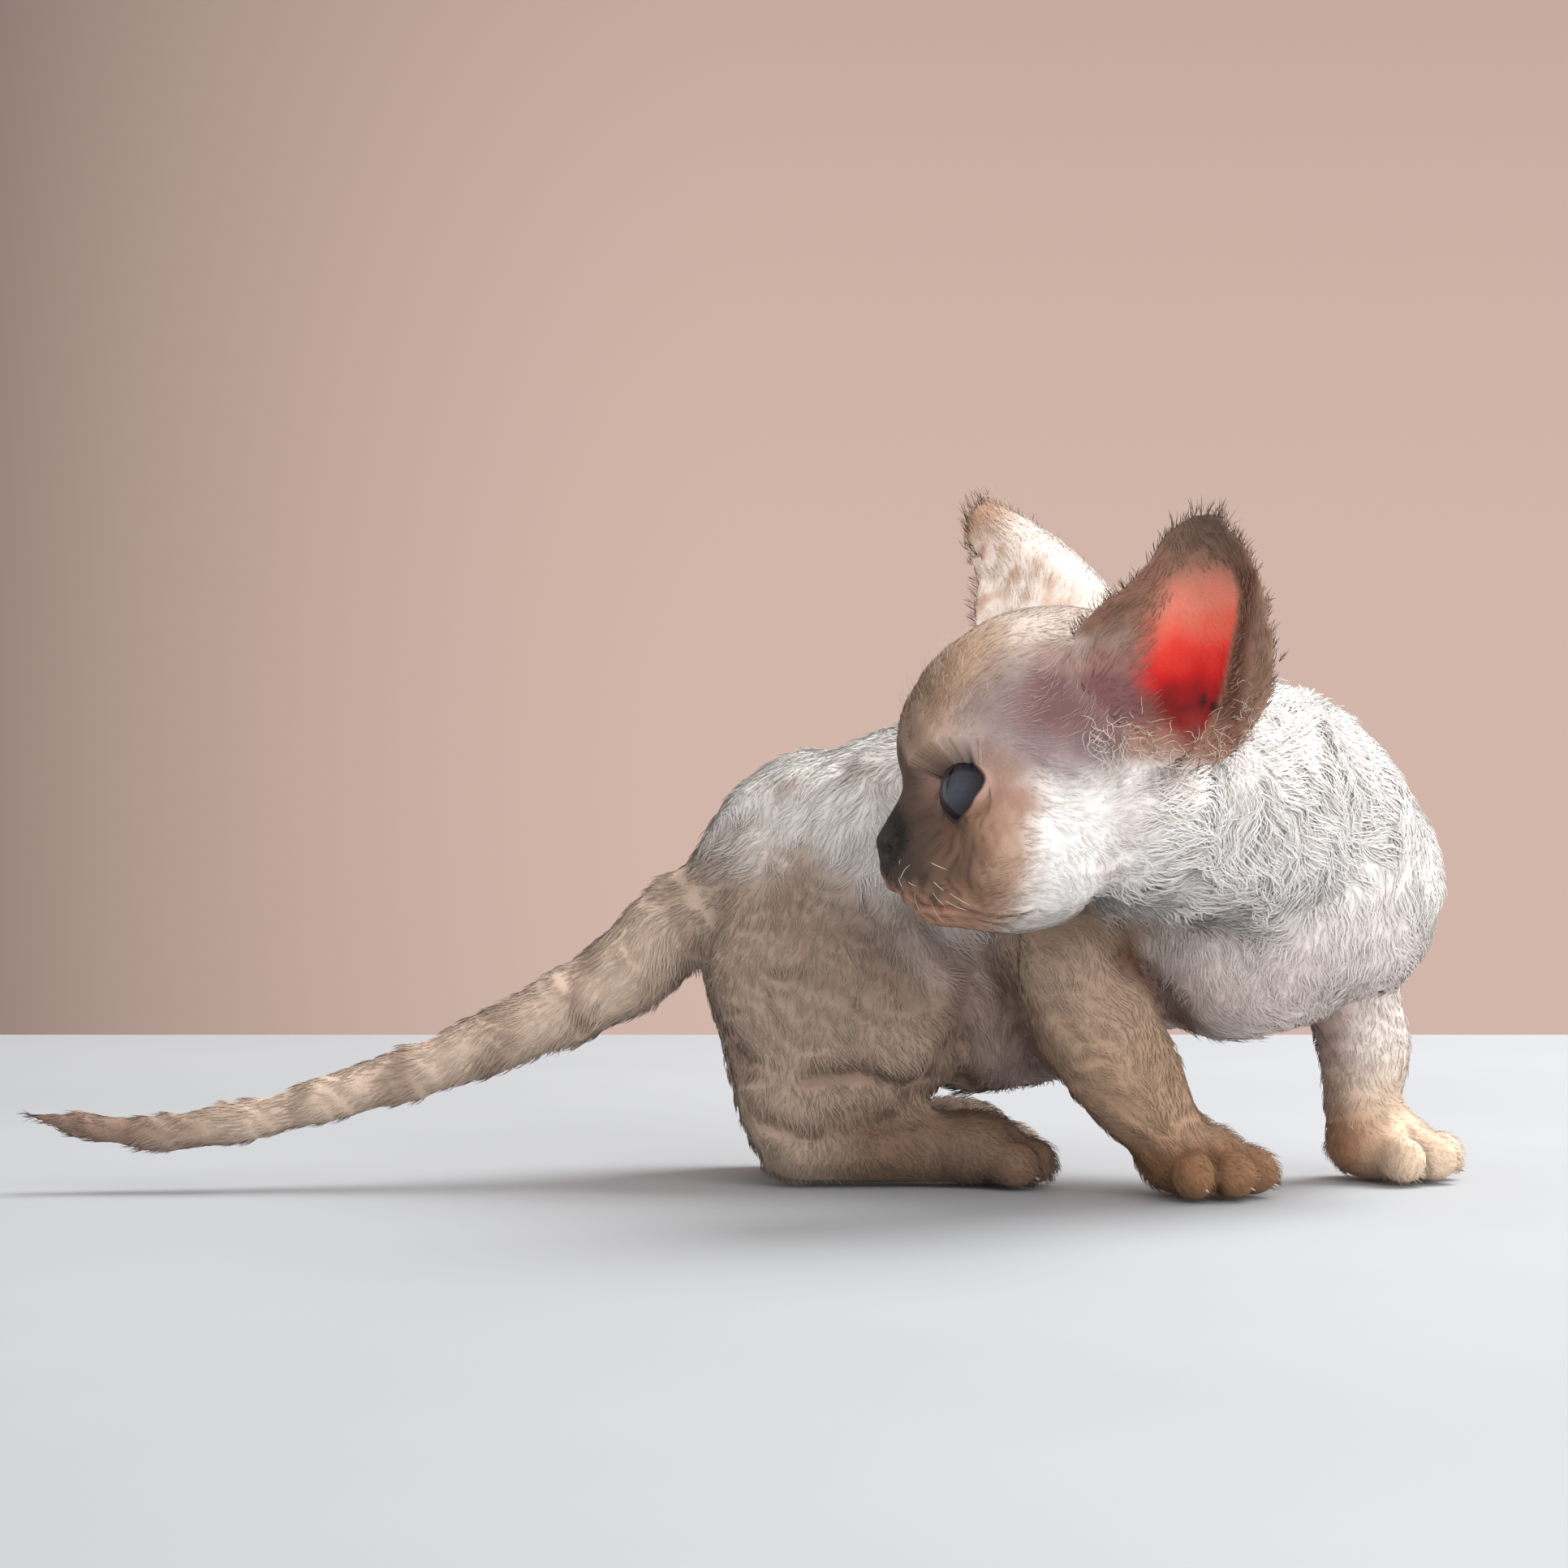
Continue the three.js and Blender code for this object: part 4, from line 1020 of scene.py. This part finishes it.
def build_locks(name, roots, sides, lengths, widths, colours, steps, root_uv, seed, **form):
    """Thin three-sided spindles along waving paths, all in one mesh."""
    normals, lies = sides
    count = len(roots)
    draw = np.random.default_rng(seed)
    across = np.cross(normals, lies)
    path = np.empty((count, steps + 1, 3))
    aims = np.empty((count, steps + 1, 3))
    path[:, 0] = roots - 0.25 * normals
    for step in range(steps + 1):
        share = step / steps
        turn = form["swing"] * np.sin(2 * np.pi * form["turns"] * share + form["phase"])
        turn = turn + form["stray"] * share
        rise = form["lift"] * (1 - share) ** 1.3 - form["tuck"] * share
        rise = rise + form["roll"] * np.sin(2 * np.pi * form["turns"] * share + form["phase"] + 1.4)
        flat = np.cos(turn)[:, None] * lies + np.sin(turn)[:, None] * across
        aims[:, step] = np.cos(rise)[:, None] * flat + np.sin(rise)[:, None] * normals
        if step:
            path[:, step] = path[:, step - 1] + aims[:, step - 1] * (lengths / steps)[:, None]
    shares_along = np.linspace(0, 1, steps + 1)
    path += (shares_along ** 1.4)[None, :, None] * form["gather"][:, None, :]
    path[:, :, 2] = np.maximum(path[:, :, 2], 0.12 + widths[:, None] / 2)
    thickness = np.array([0.75, *([1.0] * (steps - 1)), 0.0])
    thickness[-2] = 0.62
    wide = unit(np.cross(normals[:, None, :], aims))
    deep = unit(np.cross(aims, wide))
    rings = []
    shading = []
    for corner in range(3):
        angle = 2 * np.pi * corner / 3 + draw.uniform(0, 0.6)
        offset = np.cos(angle) * wide + 0.62 * np.sin(angle) * deep
        rings.append(path + offset * (thickness[None, :, None] * widths[:, None, None] / 2))
        shading.append(unit(normals[:, None, :] + LOCK_ROUNDNESS * offset + 0.25 * aims))
    ring_points = np.stack(rings, axis=2)[:, :steps].reshape(count, -1, 3)
    ring_normals = np.stack(shading, axis=2)[:, :steps].reshape(count, -1, 3)
    point_normals = np.concatenate([ring_normals, unit(normals + 0.25 * aims[:, steps])[:, None]], axis=1)
    points = np.concatenate([ring_points, path[:, steps:steps + 1]], axis=1)
    each = steps * 3 + 1
    pattern = [(2, 1, 0)]
    for step in range(steps - 1):
        for corner in range(3):
            near, far = step * 3 + corner, step * 3 + (corner + 1) % 3
            pattern.append((near, far + 3, near + 3))
            pattern.append((near, far, far + 3))
    last = (steps - 1) * 3
    for corner in range(3):
        pattern.append((last + corner, last + (corner + 1) % 3, steps * 3))
    pattern = np.array(pattern)
    faces = (pattern[None] + (np.arange(count) * each)[:, None, None]).reshape(-1)
    mesh = bpy.data.meshes.new(name)
    mesh.vertices.add(count * each)
    mesh.vertices.foreach_set("co", (points.reshape(-1) * MM))
    mesh.loops.add(len(faces))
    mesh.loops.foreach_set("vertex_index", faces)
    mesh.polygons.add(len(faces) // 3)
    mesh.polygons.foreach_set("loop_start", np.arange(0, len(faces), 3))
    mesh.polygons.foreach_set("use_smooth", np.ones(len(faces) // 3, dtype=bool))
    mesh.update(calc_edges=True)
    along = np.append(np.repeat(np.arange(steps) / steps, 3), 1.0)
    side = np.append(np.tile(np.arange(3) / 2, steps), 0.5)
    spread = np.stack([along - 0.5, side - 0.5], axis=1) * BAKE_PATCH
    vertex_uv = (root_uv[:, None, :] + spread[None]).reshape(-1, 2)
    layer = mesh.uv_layers.new(name="OFBake")
    layer.data.foreach_set("uv", np.clip(vertex_uv, 0, 1)[faces].ravel())
    # Painted shade: each lock is a little darker at its root, where the coat over it shades it.
    painted_root_shade = 0.95 + 0.07 * along
    vertex_colour = (colours[:, None, :] * painted_root_shade[None, :, None]).reshape(-1, 3)
    store_colour(mesh, "marking", np.clip(vertex_colour, 0, 1))
    mesh.normals_split_custom_set_from_vertices(point_normals.reshape(-1, 3))
    lock = bpy.data.objects.new(name, mesh)
    bpy.context.scene.collection.objects.link(lock)
    return lock


down = Finish("curly_coat", Roughness=0.8, Subsurface_Weight=0.1, Subsurface_Scale=0.0015)
down.shader.inputs["Subsurface Radius"].default_value = (1.0, 1.0, 1.0)
down.shader.inputs["Specular IOR Level"].default_value = 0.2
strands = down.noise(2400.0, 2.0)
down.feed("Base Color", down.tinted(down.attribute("marking"), 0.92 + 0.16 * strands))
down.bump(strands, 0.3, 0.0003)

# Each kind of coat: length, width, spacing, lift, swing and roll in radians, turns, gather
FORELEG_HAIR = (3.6, 0.31, 0.96, 0.30, 0.50, 0.14, 0.8, 0.24)
HIND_LEG_HAIR = (3.9, 0.32, 0.98, 0.27, 0.50, 0.14, 0.8, 0.26)
FOREPAW_HAIR = (3.0, 0.26, 0.86, 0.48, 0.36, 0.14, 0.6, 0.20)
HIND_FOOT_HAIR = (3.2, 0.27, 0.88, 0.46, 0.36, 0.14, 0.6, 0.22)
EAR_HAIR = (2.9, 0.24, 0.84, 0.34, 0.30, 0.12, 0.5, 0.12)
HAIR = {
    "torso": (5.4, 0.36, 1.02, 0.24, 0.50, 0.10, 0.8, 0.34),
    "neck": (7.8, 0.36, 0.92, 0.44, 0.70, 0.20, 0.9, 0.62),
    "head": (3.4, 0.25, 0.82, 0.24, 0.34, 0.12, 0.7, 0.14),
    "ear_left": EAR_HAIR, "ear_right": EAR_HAIR,
    "foreleg_right": FORELEG_HAIR, "foreleg_left": FORELEG_HAIR,
    "hind_leg_right": HIND_LEG_HAIR, "hind_leg_left": HIND_LEG_HAIR,
    "forepaw_right": FOREPAW_HAIR, "forepaw_left": FOREPAW_HAIR,
    "hind_foot_right": HIND_FOOT_HAIR, "hind_foot_left": HIND_FOOT_HAIR,
    "tail_root": (4.6, 0.34, 0.96, 0.22, 0.34, 0.12, 0.7, 0.12),
    "tail_middle": (4.2, 0.32, 0.92, 0.20, 0.30, 0.10, 0.7, 0.10),
    "tail_tip": (4.2, 0.30, 0.82, 0.18, 0.22, 0.08, 0.6, 0.10),
}
HAIR_TABLE = np.array([HAIR[name] for name in FLESH_NAMES])
# Each joined piece of coat: the parts that it grows on, and the lengths along each of its locks
COAT_GROUPS = {
    "coat_back": (("torso",), 3),
    "coat_neck": (("neck",), 4),
    "coat_face": (("head", "ear_left", "ear_right"), 3),
    "coat_legs": (("foreleg_right", "foreleg_left", "hind_leg_right", "hind_leg_left"), 3),
    "coat_feet": (("forepaw_right", "forepaw_left", "hind_foot_right", "hind_foot_left"), 2),
    "coat_tail": (("tail_root", "tail_middle", "tail_tip"), 3),
}
LARGEST_PIECE = 190000
SAMPLES_PER_SQUARE_MM = 3.2
LOCKS_PER_CLUMP = 16
THINNED_TEMPLE = ((-2, 24, 9), (20, 15, 11), 0.4)
SOLE_HEIGHT = 2.2


def bareness(places, normals, part):
    """1 where no hair grows: the nose, lid openings, ear cups and soles."""
    folded = fold_over(on_head(places))
    head = shares_of(part, "head")
    chance = np.random.default_rng(24).uniform(0, 1, len(places))
    bare = (head > 0.3) * (patch(folded, NOSE_TIP, NOSE_LEATHER, 0.1) > 0.5)
    temple = head * patch(folded, *THINNED_TEMPLE)
    bare = bare | (chance < 0.6 * temple)
    for side in (1, -1):
        distance, _, reach = lid_reach(places, side)
        bare = bare | ((reach < 1.2) & (distance < 12))
    for name in ("ear_left", "ear_right"):
        across, height, _ = on_ear(places, name).T
        inside = normals @ np.array(EAR_AXES[name][2]) > 0.1
        own = shares_of(part, name)
        thinned = 1.15 * cup_share(across, height) > chance
        band = (across < -4) & (height < 5) & (height > -8) & (chance < 0.75)
        bare = bare | ((own > 0.4) & inside & (thinned | band))
    return bare | ((places[:, 2] < SOLE_HEIGHT) & (normals[:, 2] < -0.6))


def hair_spacing(places, normals, part):
    spacing = part @ HAIR_TABLE[:, 2]
    return np.where(bareness(places, normals, part), 99, spacing)


roots, root_normals, root_parts, root_uvs = skin_samples(hair_spacing, 21, SAMPLES_PER_SQUARE_MM)


def clump_pull(places, seed):
    """Towards the middle of the clump that each lock belongs to."""
    draw = np.random.default_rng(seed)
    picks = draw.permutation(len(places))[:int(len(places) / LOCKS_PER_CLUMP)]
    tree = tree_of(places[picks])
    centres = np.array([tree.find(spot)[0] for spot in places])
    return centres - places


def grow_coat():
    kinds = root_parts @ HAIR_TABLE
    main_part = np.argmax(root_parts, axis=1)
    lies = lie_of(roots, root_normals)
    draw = np.random.default_rng(22)
    sway = soft_noise(roots, 22, 31)
    angle = 0.55 * sway * np.clip(kinds[:, 4] / 0.5, 0, 1.5)
    lies = unit(
        np.cos(angle)[:, None] * lies + np.sin(angle)[:, None] * np.cross(root_normals, lies)
    )
    phase = 2.2 * soft_noise(roots, 11, 33) + draw.normal(0, 0.35, len(roots))
    colours = markings(roots, root_parts)
    folded = fold_over(on_head(roots))
    head = shares_of(root_parts, "head")
    face = head * fade(np.linalg.norm(folded - (30, 0, -18), axis=1), 34, 14)
    temple = head * patch(folded, *THINNED_TEMPLE)
    colours = mix(colours, 0.3 * temple, WARM_WHITE)
    lengths = kinds[:, 0] * (1 - 0.5 * face) * draw.uniform(0.75, 1.2, len(roots))
    near_lid = np.zeros(len(roots))
    for side in (1, -1):
        distance, _, reach = lid_reach(roots, side)
        near_lid = np.maximum(near_lid, fade(reach, 2.9, 1.5) * fade(distance, 18, 14))
    lengths = lengths * (1 - 0.65 * near_lid)
    widths = kinds[:, 1] * (1 - 0.3 * face) * (1 - 0.45 * temple) * draw.uniform(0.7, 1.2, len(roots))
    clump = 1 + 0.08 * soft_noise(roots, 4.5, 35) + 0.04 * ridges(roots)
    raised = np.clip(1 + 0.4 * ridges(roots), 0.5, 1.5) * (1 - 0.8 * near_lid)
    pull = clump_pull(roots, 41) * (1 - near_lid)[:, None]
    fine = shares_of(root_parts, "head", "ear_left", "ear_right", *PAWS)
    tone_range = 0.05 + 0.1 * fine * (1 - near_lid)
    for group, (names, steps) in COAT_GROUPS.items():
        rows = np.flatnonzero(np.isin(main_part, [FLESH_NAMES.index(name) for name in names]))
        faces_each = (steps - 1) * 6 + 4
        per_piece = LARGEST_PIECE // faces_each
        pieces = int(np.ceil(len(rows) / per_piece))
        for number, chunk in enumerate(np.array_split(rows, pieces)):
            name = f"{group}_{number + 1}" if pieces > 1 else group
            own_tone = 1 + tone_range[chunk] * draw.uniform(-1, 1, len(chunk))
            tinted = colours[chunk] * (clump[chunk] * own_tone)[:, None]
            lock = build_locks(
                name, roots[chunk], (root_normals[chunk], lies[chunk]), lengths[chunk],
                widths[chunk], tinted, steps, root_uvs[chunk], 50 + number,
                swing=kinds[chunk, 4], turns=kinds[chunk, 6], phase=phase[chunk],
                stray=draw.normal(0, 0.2, len(chunk)), roll=kinds[chunk, 5],
                lift=kinds[chunk, 3] * raised[chunk] * draw.uniform(0.7, 1.3, len(chunk)),
                tuck=np.full(len(chunk), 0.16), gather=pull[chunk] * kinds[chunk, 7:8],
            )
            lock.data.materials.append(down.material)
            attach(lock, "root")


grow_coat()

# Whiskers and ear fringe
# A few short, brittle, cream whiskers stand on the pads and fine pale hairs on the brow. A fringe
# of longer hair grows round the edge of each ear, and soft curls before its opening.
def single_hairs(name, roots, aims, lengths, width, colour, seed, swing, bend=0.3):
    """Loose hairs from these roots, each nearest the skin that carries it."""
    tree = tree_of(skin_places)
    rows = np.array([tree.find(spot)[1] for spot in roots])
    uv_of = np.zeros((len(skin_places), 2))
    mesh = skin.data
    corners = rows_of(mesh.loops, "vertex_index", 1, np.int64)[:, 0]
    uv_of[corners] = rows_of(mesh.uv_layers["OFBake"].data, "uv", 2)
    normals = skin_normals[rows]
    lies = unit(aims - 0.999 * np.sum(aims * normals, axis=1, keepdims=True) * normals)
    count = len(rows)
    draw = np.random.default_rng(seed)
    lift = np.arcsin(np.clip(np.sum(unit(aims) * normals, axis=1), -0.2, 0.98))
    hair = build_locks(
        name, skin_places[rows], (normals, lies), lengths, np.full(count, width),
        np.tile(colour, (count, 1)), 6, uv_of[rows], seed,
        swing=swing * draw.uniform(0.5, 1.3, count), turns=draw.uniform(0.3, 0.7, count),
        phase=draw.uniform(-0.6, 0.6, count), stray=draw.normal(0, bend, count), lift=lift,
        tuck=-0.6 * lift, roll=draw.normal(0, 0.5 * bend, count), gather=np.zeros((count, 3)),
    )
    hair.data.materials.append(down.material)
    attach(hair, "root")


whisker_draw = np.random.default_rng(61)
whisker_roots = []
whisker_aims = []
for side in (1, -1):
    for row in range(4):
        for column in range(4):
            spot = np.array((32 - 2.6 * column, 6.0 + 1.3 * column, -25.5 - 2.4 * row))
            whisker_roots.append(from_head((spot + whisker_draw.normal(0, 0.6, 3)) * (1, side, 1)))
            aim = np.array((0.5 - 0.35 * column, 0.8, -0.2 * row - 0.05)) + whisker_draw.normal(0, 0.15, 3)
            whisker_aims.append(unit(aim * (1, side, 1)) @ head_axes)
single_hairs(
    "whiskers", np.array(whisker_roots), np.array(whisker_aims),
    whisker_draw.uniform(3, 7, len(whisker_roots)), 0.12, tone(244, 236, 226), 62, 0.05, 0.08,
)

BROW_HAIRS = 120
BROW_REGION = ((16, 30), (-15, 15), (2, 20))
brow_roots = []
brow_aims = []
for _ in range(BROW_HAIRS):
    spot = np.array([whisker_draw.uniform(low, high) for low, high in BROW_REGION])
    brow_roots.append(from_head(spot))
    aim = np.array((0.25, 0.02 * spot[1], 1.0)) + whisker_draw.normal(0, 0.3, 3)
    brow_aims.append(unit(aim) @ head_axes)
single_hairs(
    "brow_hairs", np.array(brow_roots), np.array(brow_aims),
    whisker_draw.uniform(2, 5, len(brow_roots)), 0.08, tone(226, 208, 190), 64, 0.3, 0.2,
)


def ear_edge_hairs(name, count, seed):
    draw = np.random.default_rng(seed)
    across, height, depth = on_ear(skin_places, name).T
    own = shares_of(shares, name) > 0.6
    rim = own & (np.abs(depth) < 2.4) & (height > -2)
    rows = np.flatnonzero(rim & ((height > 27) | (across < -9) | (across > 16)))
    rows = draw.choice(rows, size=count)
    _, up, opening, side = EAR_AXES[name]
    back = side * np.cross(up, opening)
    aims = np.array(up) + np.clip(across[rows] / 16, -1, 1)[:, None] * back * 0.7
    return rows, aims + draw.normal(0, 0.18, (count, 3)), height


FRINGE_HAIRS = 320
for name, colour in (("ear_left", tone(84, 64, 50)), ("ear_right", tone(188, 156, 132))):
    rows, aims, height = ear_edge_hairs(name, FRINGE_HAIRS, 71)
    lengths = np.random.default_rng(72).uniform(1.6, 3.4, len(rows)) + fade(height[rows], 33, 40) * 2.0
    single_hairs(name + "_fringe", skin_places[rows], aims, lengths, 0.14, colour, 73, 0.2, 0.2)

# Fine pale curls stand in front of the ear opening and hide its lower corner.
EAR_CURLS = 520
curl_draw = np.random.default_rng(81)
for name in ("ear_left", "ear_right"):
    across, height, depth = on_ear(skin_places, name).T
    low_corner = (height < -4) & (height > -16) & (across > -16) & (across < 14)
    behind = (height < 6) & (height > -6) & (across > 12) & (across < 17)
    near_root = (low_corner | behind) & (depth < 8) & (depth > -6)
    rows = curl_draw.choice(np.flatnonzero(near_root), size=EAR_CURLS)
    _, up, opening, _ = EAR_AXES[name]
    aims = np.array(opening) * 0.5 - np.array(up) * 0.25 + curl_draw.normal(0, 0.5, (len(rows), 3))
    single_hairs(
        name + "_curls", skin_places[rows], aims, curl_draw.uniform(3, 6.5, len(rows)), 0.15,
        tone(228, 212, 202), 83, 1.3,
    )

# Claws
# Small pale hooks of horn, one rooted in the tip of each toe and drawn in, so that only their
# points show.
CLAW_LENGTH = 3.2
CLAW_HOOK = 1.3
CLAW_HEIGHT = 4.0
TOE_TIP = 13
CLAW_FORWARD = 4.3
claws = []
for name, (offset, heading, fan) in PAWS.items():
    palm = np.array(middle_of(name)) / MM + offset
    for toe in range(4):
        spread = (toe - 1.5) * fan
        around = np.radians(heading + spread)
        angle = np.radians(heading + spread / 2)
        bpy.ops.object.select_all(action="DESELECT")
        bpy.ops.mesh.primitive_cone_add(
            vertices=12, radius1=0.6 * MM, radius2=0.08 * MM, depth=CLAW_LENGTH * MM,
        )
        claw = bpy.context.view_layer.objects.active
        places = places_of(claw.data)
        along = places[:, 2] / CLAW_LENGTH + 0.5
        drop = CLAW_HOOK * along ** 2
        hooked = np.stack([places[:, 2], places[:, 0] * 0.7, places[:, 1] - drop], axis=1)
        forward = np.array((np.cos(angle), np.sin(angle), 0))
        left = np.array((-np.sin(angle), np.cos(angle), 0))
        frame_of_claw = np.stack([forward, left, (0, 0, 1)])
        toe_tip = palm * (1, 1, 0) + TOE_TIP * np.array((np.cos(around), np.sin(around), 0))
        root = toe_tip + CLAW_FORWARD * forward + (0, 0, CLAW_HEIGHT)
        set_places(claw.data, hooked @ frame_of_claw + root)
        claws.append(claw)
only(*claws)
bpy.ops.object.join()
claw_set = bpy.context.view_layer.objects.active
claw_set.name = "claws"
claw_set.data.name = "claws"
bpy.ops.object.transform_apply(location=True, rotation=True, scale=True)
bpy.ops.object.mode_set(mode="EDIT")
bpy.ops.mesh.select_all(action="SELECT")
bpy.ops.mesh.normals_make_consistent(inside=False)
bpy.ops.object.mode_set(mode="OBJECT")
bpy.ops.object.shade_smooth()
horn = Finish("claw_horn", Roughness=0.3)
horn_stops = [(0.3, (0.62, 0.5, 0.42, 1)), (0.75, (0.8, 0.7, 0.62, 1))]
horn.feed("Base Color", horn.node(
    "ShaderNodeValToRGB", {"stops": horn_stops}, {0: horn.noise(700.0, 2.0)}, output="Color",
))
claw_set.data.materials.append(horn.material)
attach(claw_set, "root")

# Floor and light
# A pale table before a beige wall, under a large soft window overhead and to the right, with a
# weaker light that fills the shadows from the camera's side.
bpy.ops.object.select_all(action="DESELECT")
FLOOR_BACK = 0.507
FLOOR_FRONT = -3.0
bpy.ops.mesh.primitive_plane_add(size=1.0)
floor = bpy.context.view_layer.objects.active
for corner in floor.data.vertices:
    corner.co.x *= 6
    corner.co.y = FLOOR_BACK if corner.co.y > 0 else FLOOR_FRONT
floor.name = "floor"
table_top = Finish("pale_table", Roughness=0.6)
table_top.feed("Base Color", table_top.node(
    "ShaderNodeValToRGB",
    {"stops": [(0.35, (0.41, 0.437, 0.464, 1)), (0.7, (0.435, 0.46, 0.49, 1))]},
    {0: table_top.noise(6.0, 2.0)},
    output="Color",
))
floor.data.materials.append(table_top.material)

# The wall glows by itself, brighter in the middle and darker to the left, as soft window light does.
WALL_BACK = 2.2
WALL_LOW = -1.2
WALL_HIGH = 2.6
VIEW_HALF = 0.6355
BRIGHTEST_HEIGHT = 0.09
bpy.ops.object.select_all(action="DESELECT")
bpy.ops.mesh.primitive_plane_add(size=1.0)
wall = bpy.context.view_layer.objects.active
for corner in wall.data.vertices:
    corner.co.x *= 5
    corner.co.z = WALL_HIGH if corner.co.y > 0 else WALL_LOW
    corner.co.y = WALL_BACK
wall.name = "wall"
plaster = Finish("beige_wall", Roughness=1.0, Emission_Strength=1.0)
plaster.shader.inputs["Base Color"].default_value = (0, 0, 0, 1)
plaster.shader.inputs["Specular IOR Level"].default_value = 0.0
wall_place = plaster.node("ShaderNodeSeparateXYZ", sockets={0: plaster.places()}, output="X")
wall_up = plaster.node("ShaderNodeSeparateXYZ", sockets={0: plaster.places()}, output="Z")


def limited(operation, value, limit):
    return plaster.node("ShaderNodeMath", {"operation": operation}, {0: value, 1: limit})


leftward = limited("MAXIMUM", wall_place * (-1 / VIEW_HALF), 0.0)
leftward = limited("MINIMUM", leftward, 1.1)
upward = limited("MINIMUM", (wall_up - BRIGHTEST_HEIGHT) * (1 / VIEW_HALF), 1.3)
glow = (1 - 0.5 * leftward * leftward) * (1 - 0.14 * upward * upward)
glow = limited("MAXIMUM", glow, 0.2)
beige = plaster.node("ShaderNodeMix", {"data_type": "RGBA"}, {
    0: glow, 6: (0, 0, 0, 1), 7: (0.65, 0.472, 0.405, 1),
}, output=2)
plaster.feed("Emission Color", beige)
wall.data.materials.append(plaster.material)


def soft_light(name, place, aim, size, power, colour):
    data = bpy.data.lights.new(name, "AREA")
    data.shape = "DISK"
    data.size = size
    data.energy = power
    data.color = colour
    lamp = bpy.data.objects.new(name, data)
    bpy.context.scene.collection.objects.link(lamp)
    lamp.location = place
    lamp.rotation_euler = (Vector(aim) - Vector(place)).to_track_quat("-Z", "Y").to_euler()


soft_light("window", (0.85, 0.4, 1.25), (0.03, 0, 0.06), 1.0, 30, (1.0, 0.995, 0.99))
soft_light("room_fill", (0.85, -1.5, 0.65), (0.03, 0, 0.06), 1.5, 19, (1.0, 0.985, 0.97))
bpy.data.objects["room_fill"].visible_glossy = False
world = bpy.data.worlds.new("room")
bpy.context.scene.world = world
world.use_nodes = True
world.node_tree.nodes["Background"].inputs["Color"].default_value = (0.76, 0.725, 0.70, 1)
world.node_tree.nodes["Background"].inputs["Strength"].default_value = 1.0
bpy.context.scene.view_settings.view_transform = "Standard"
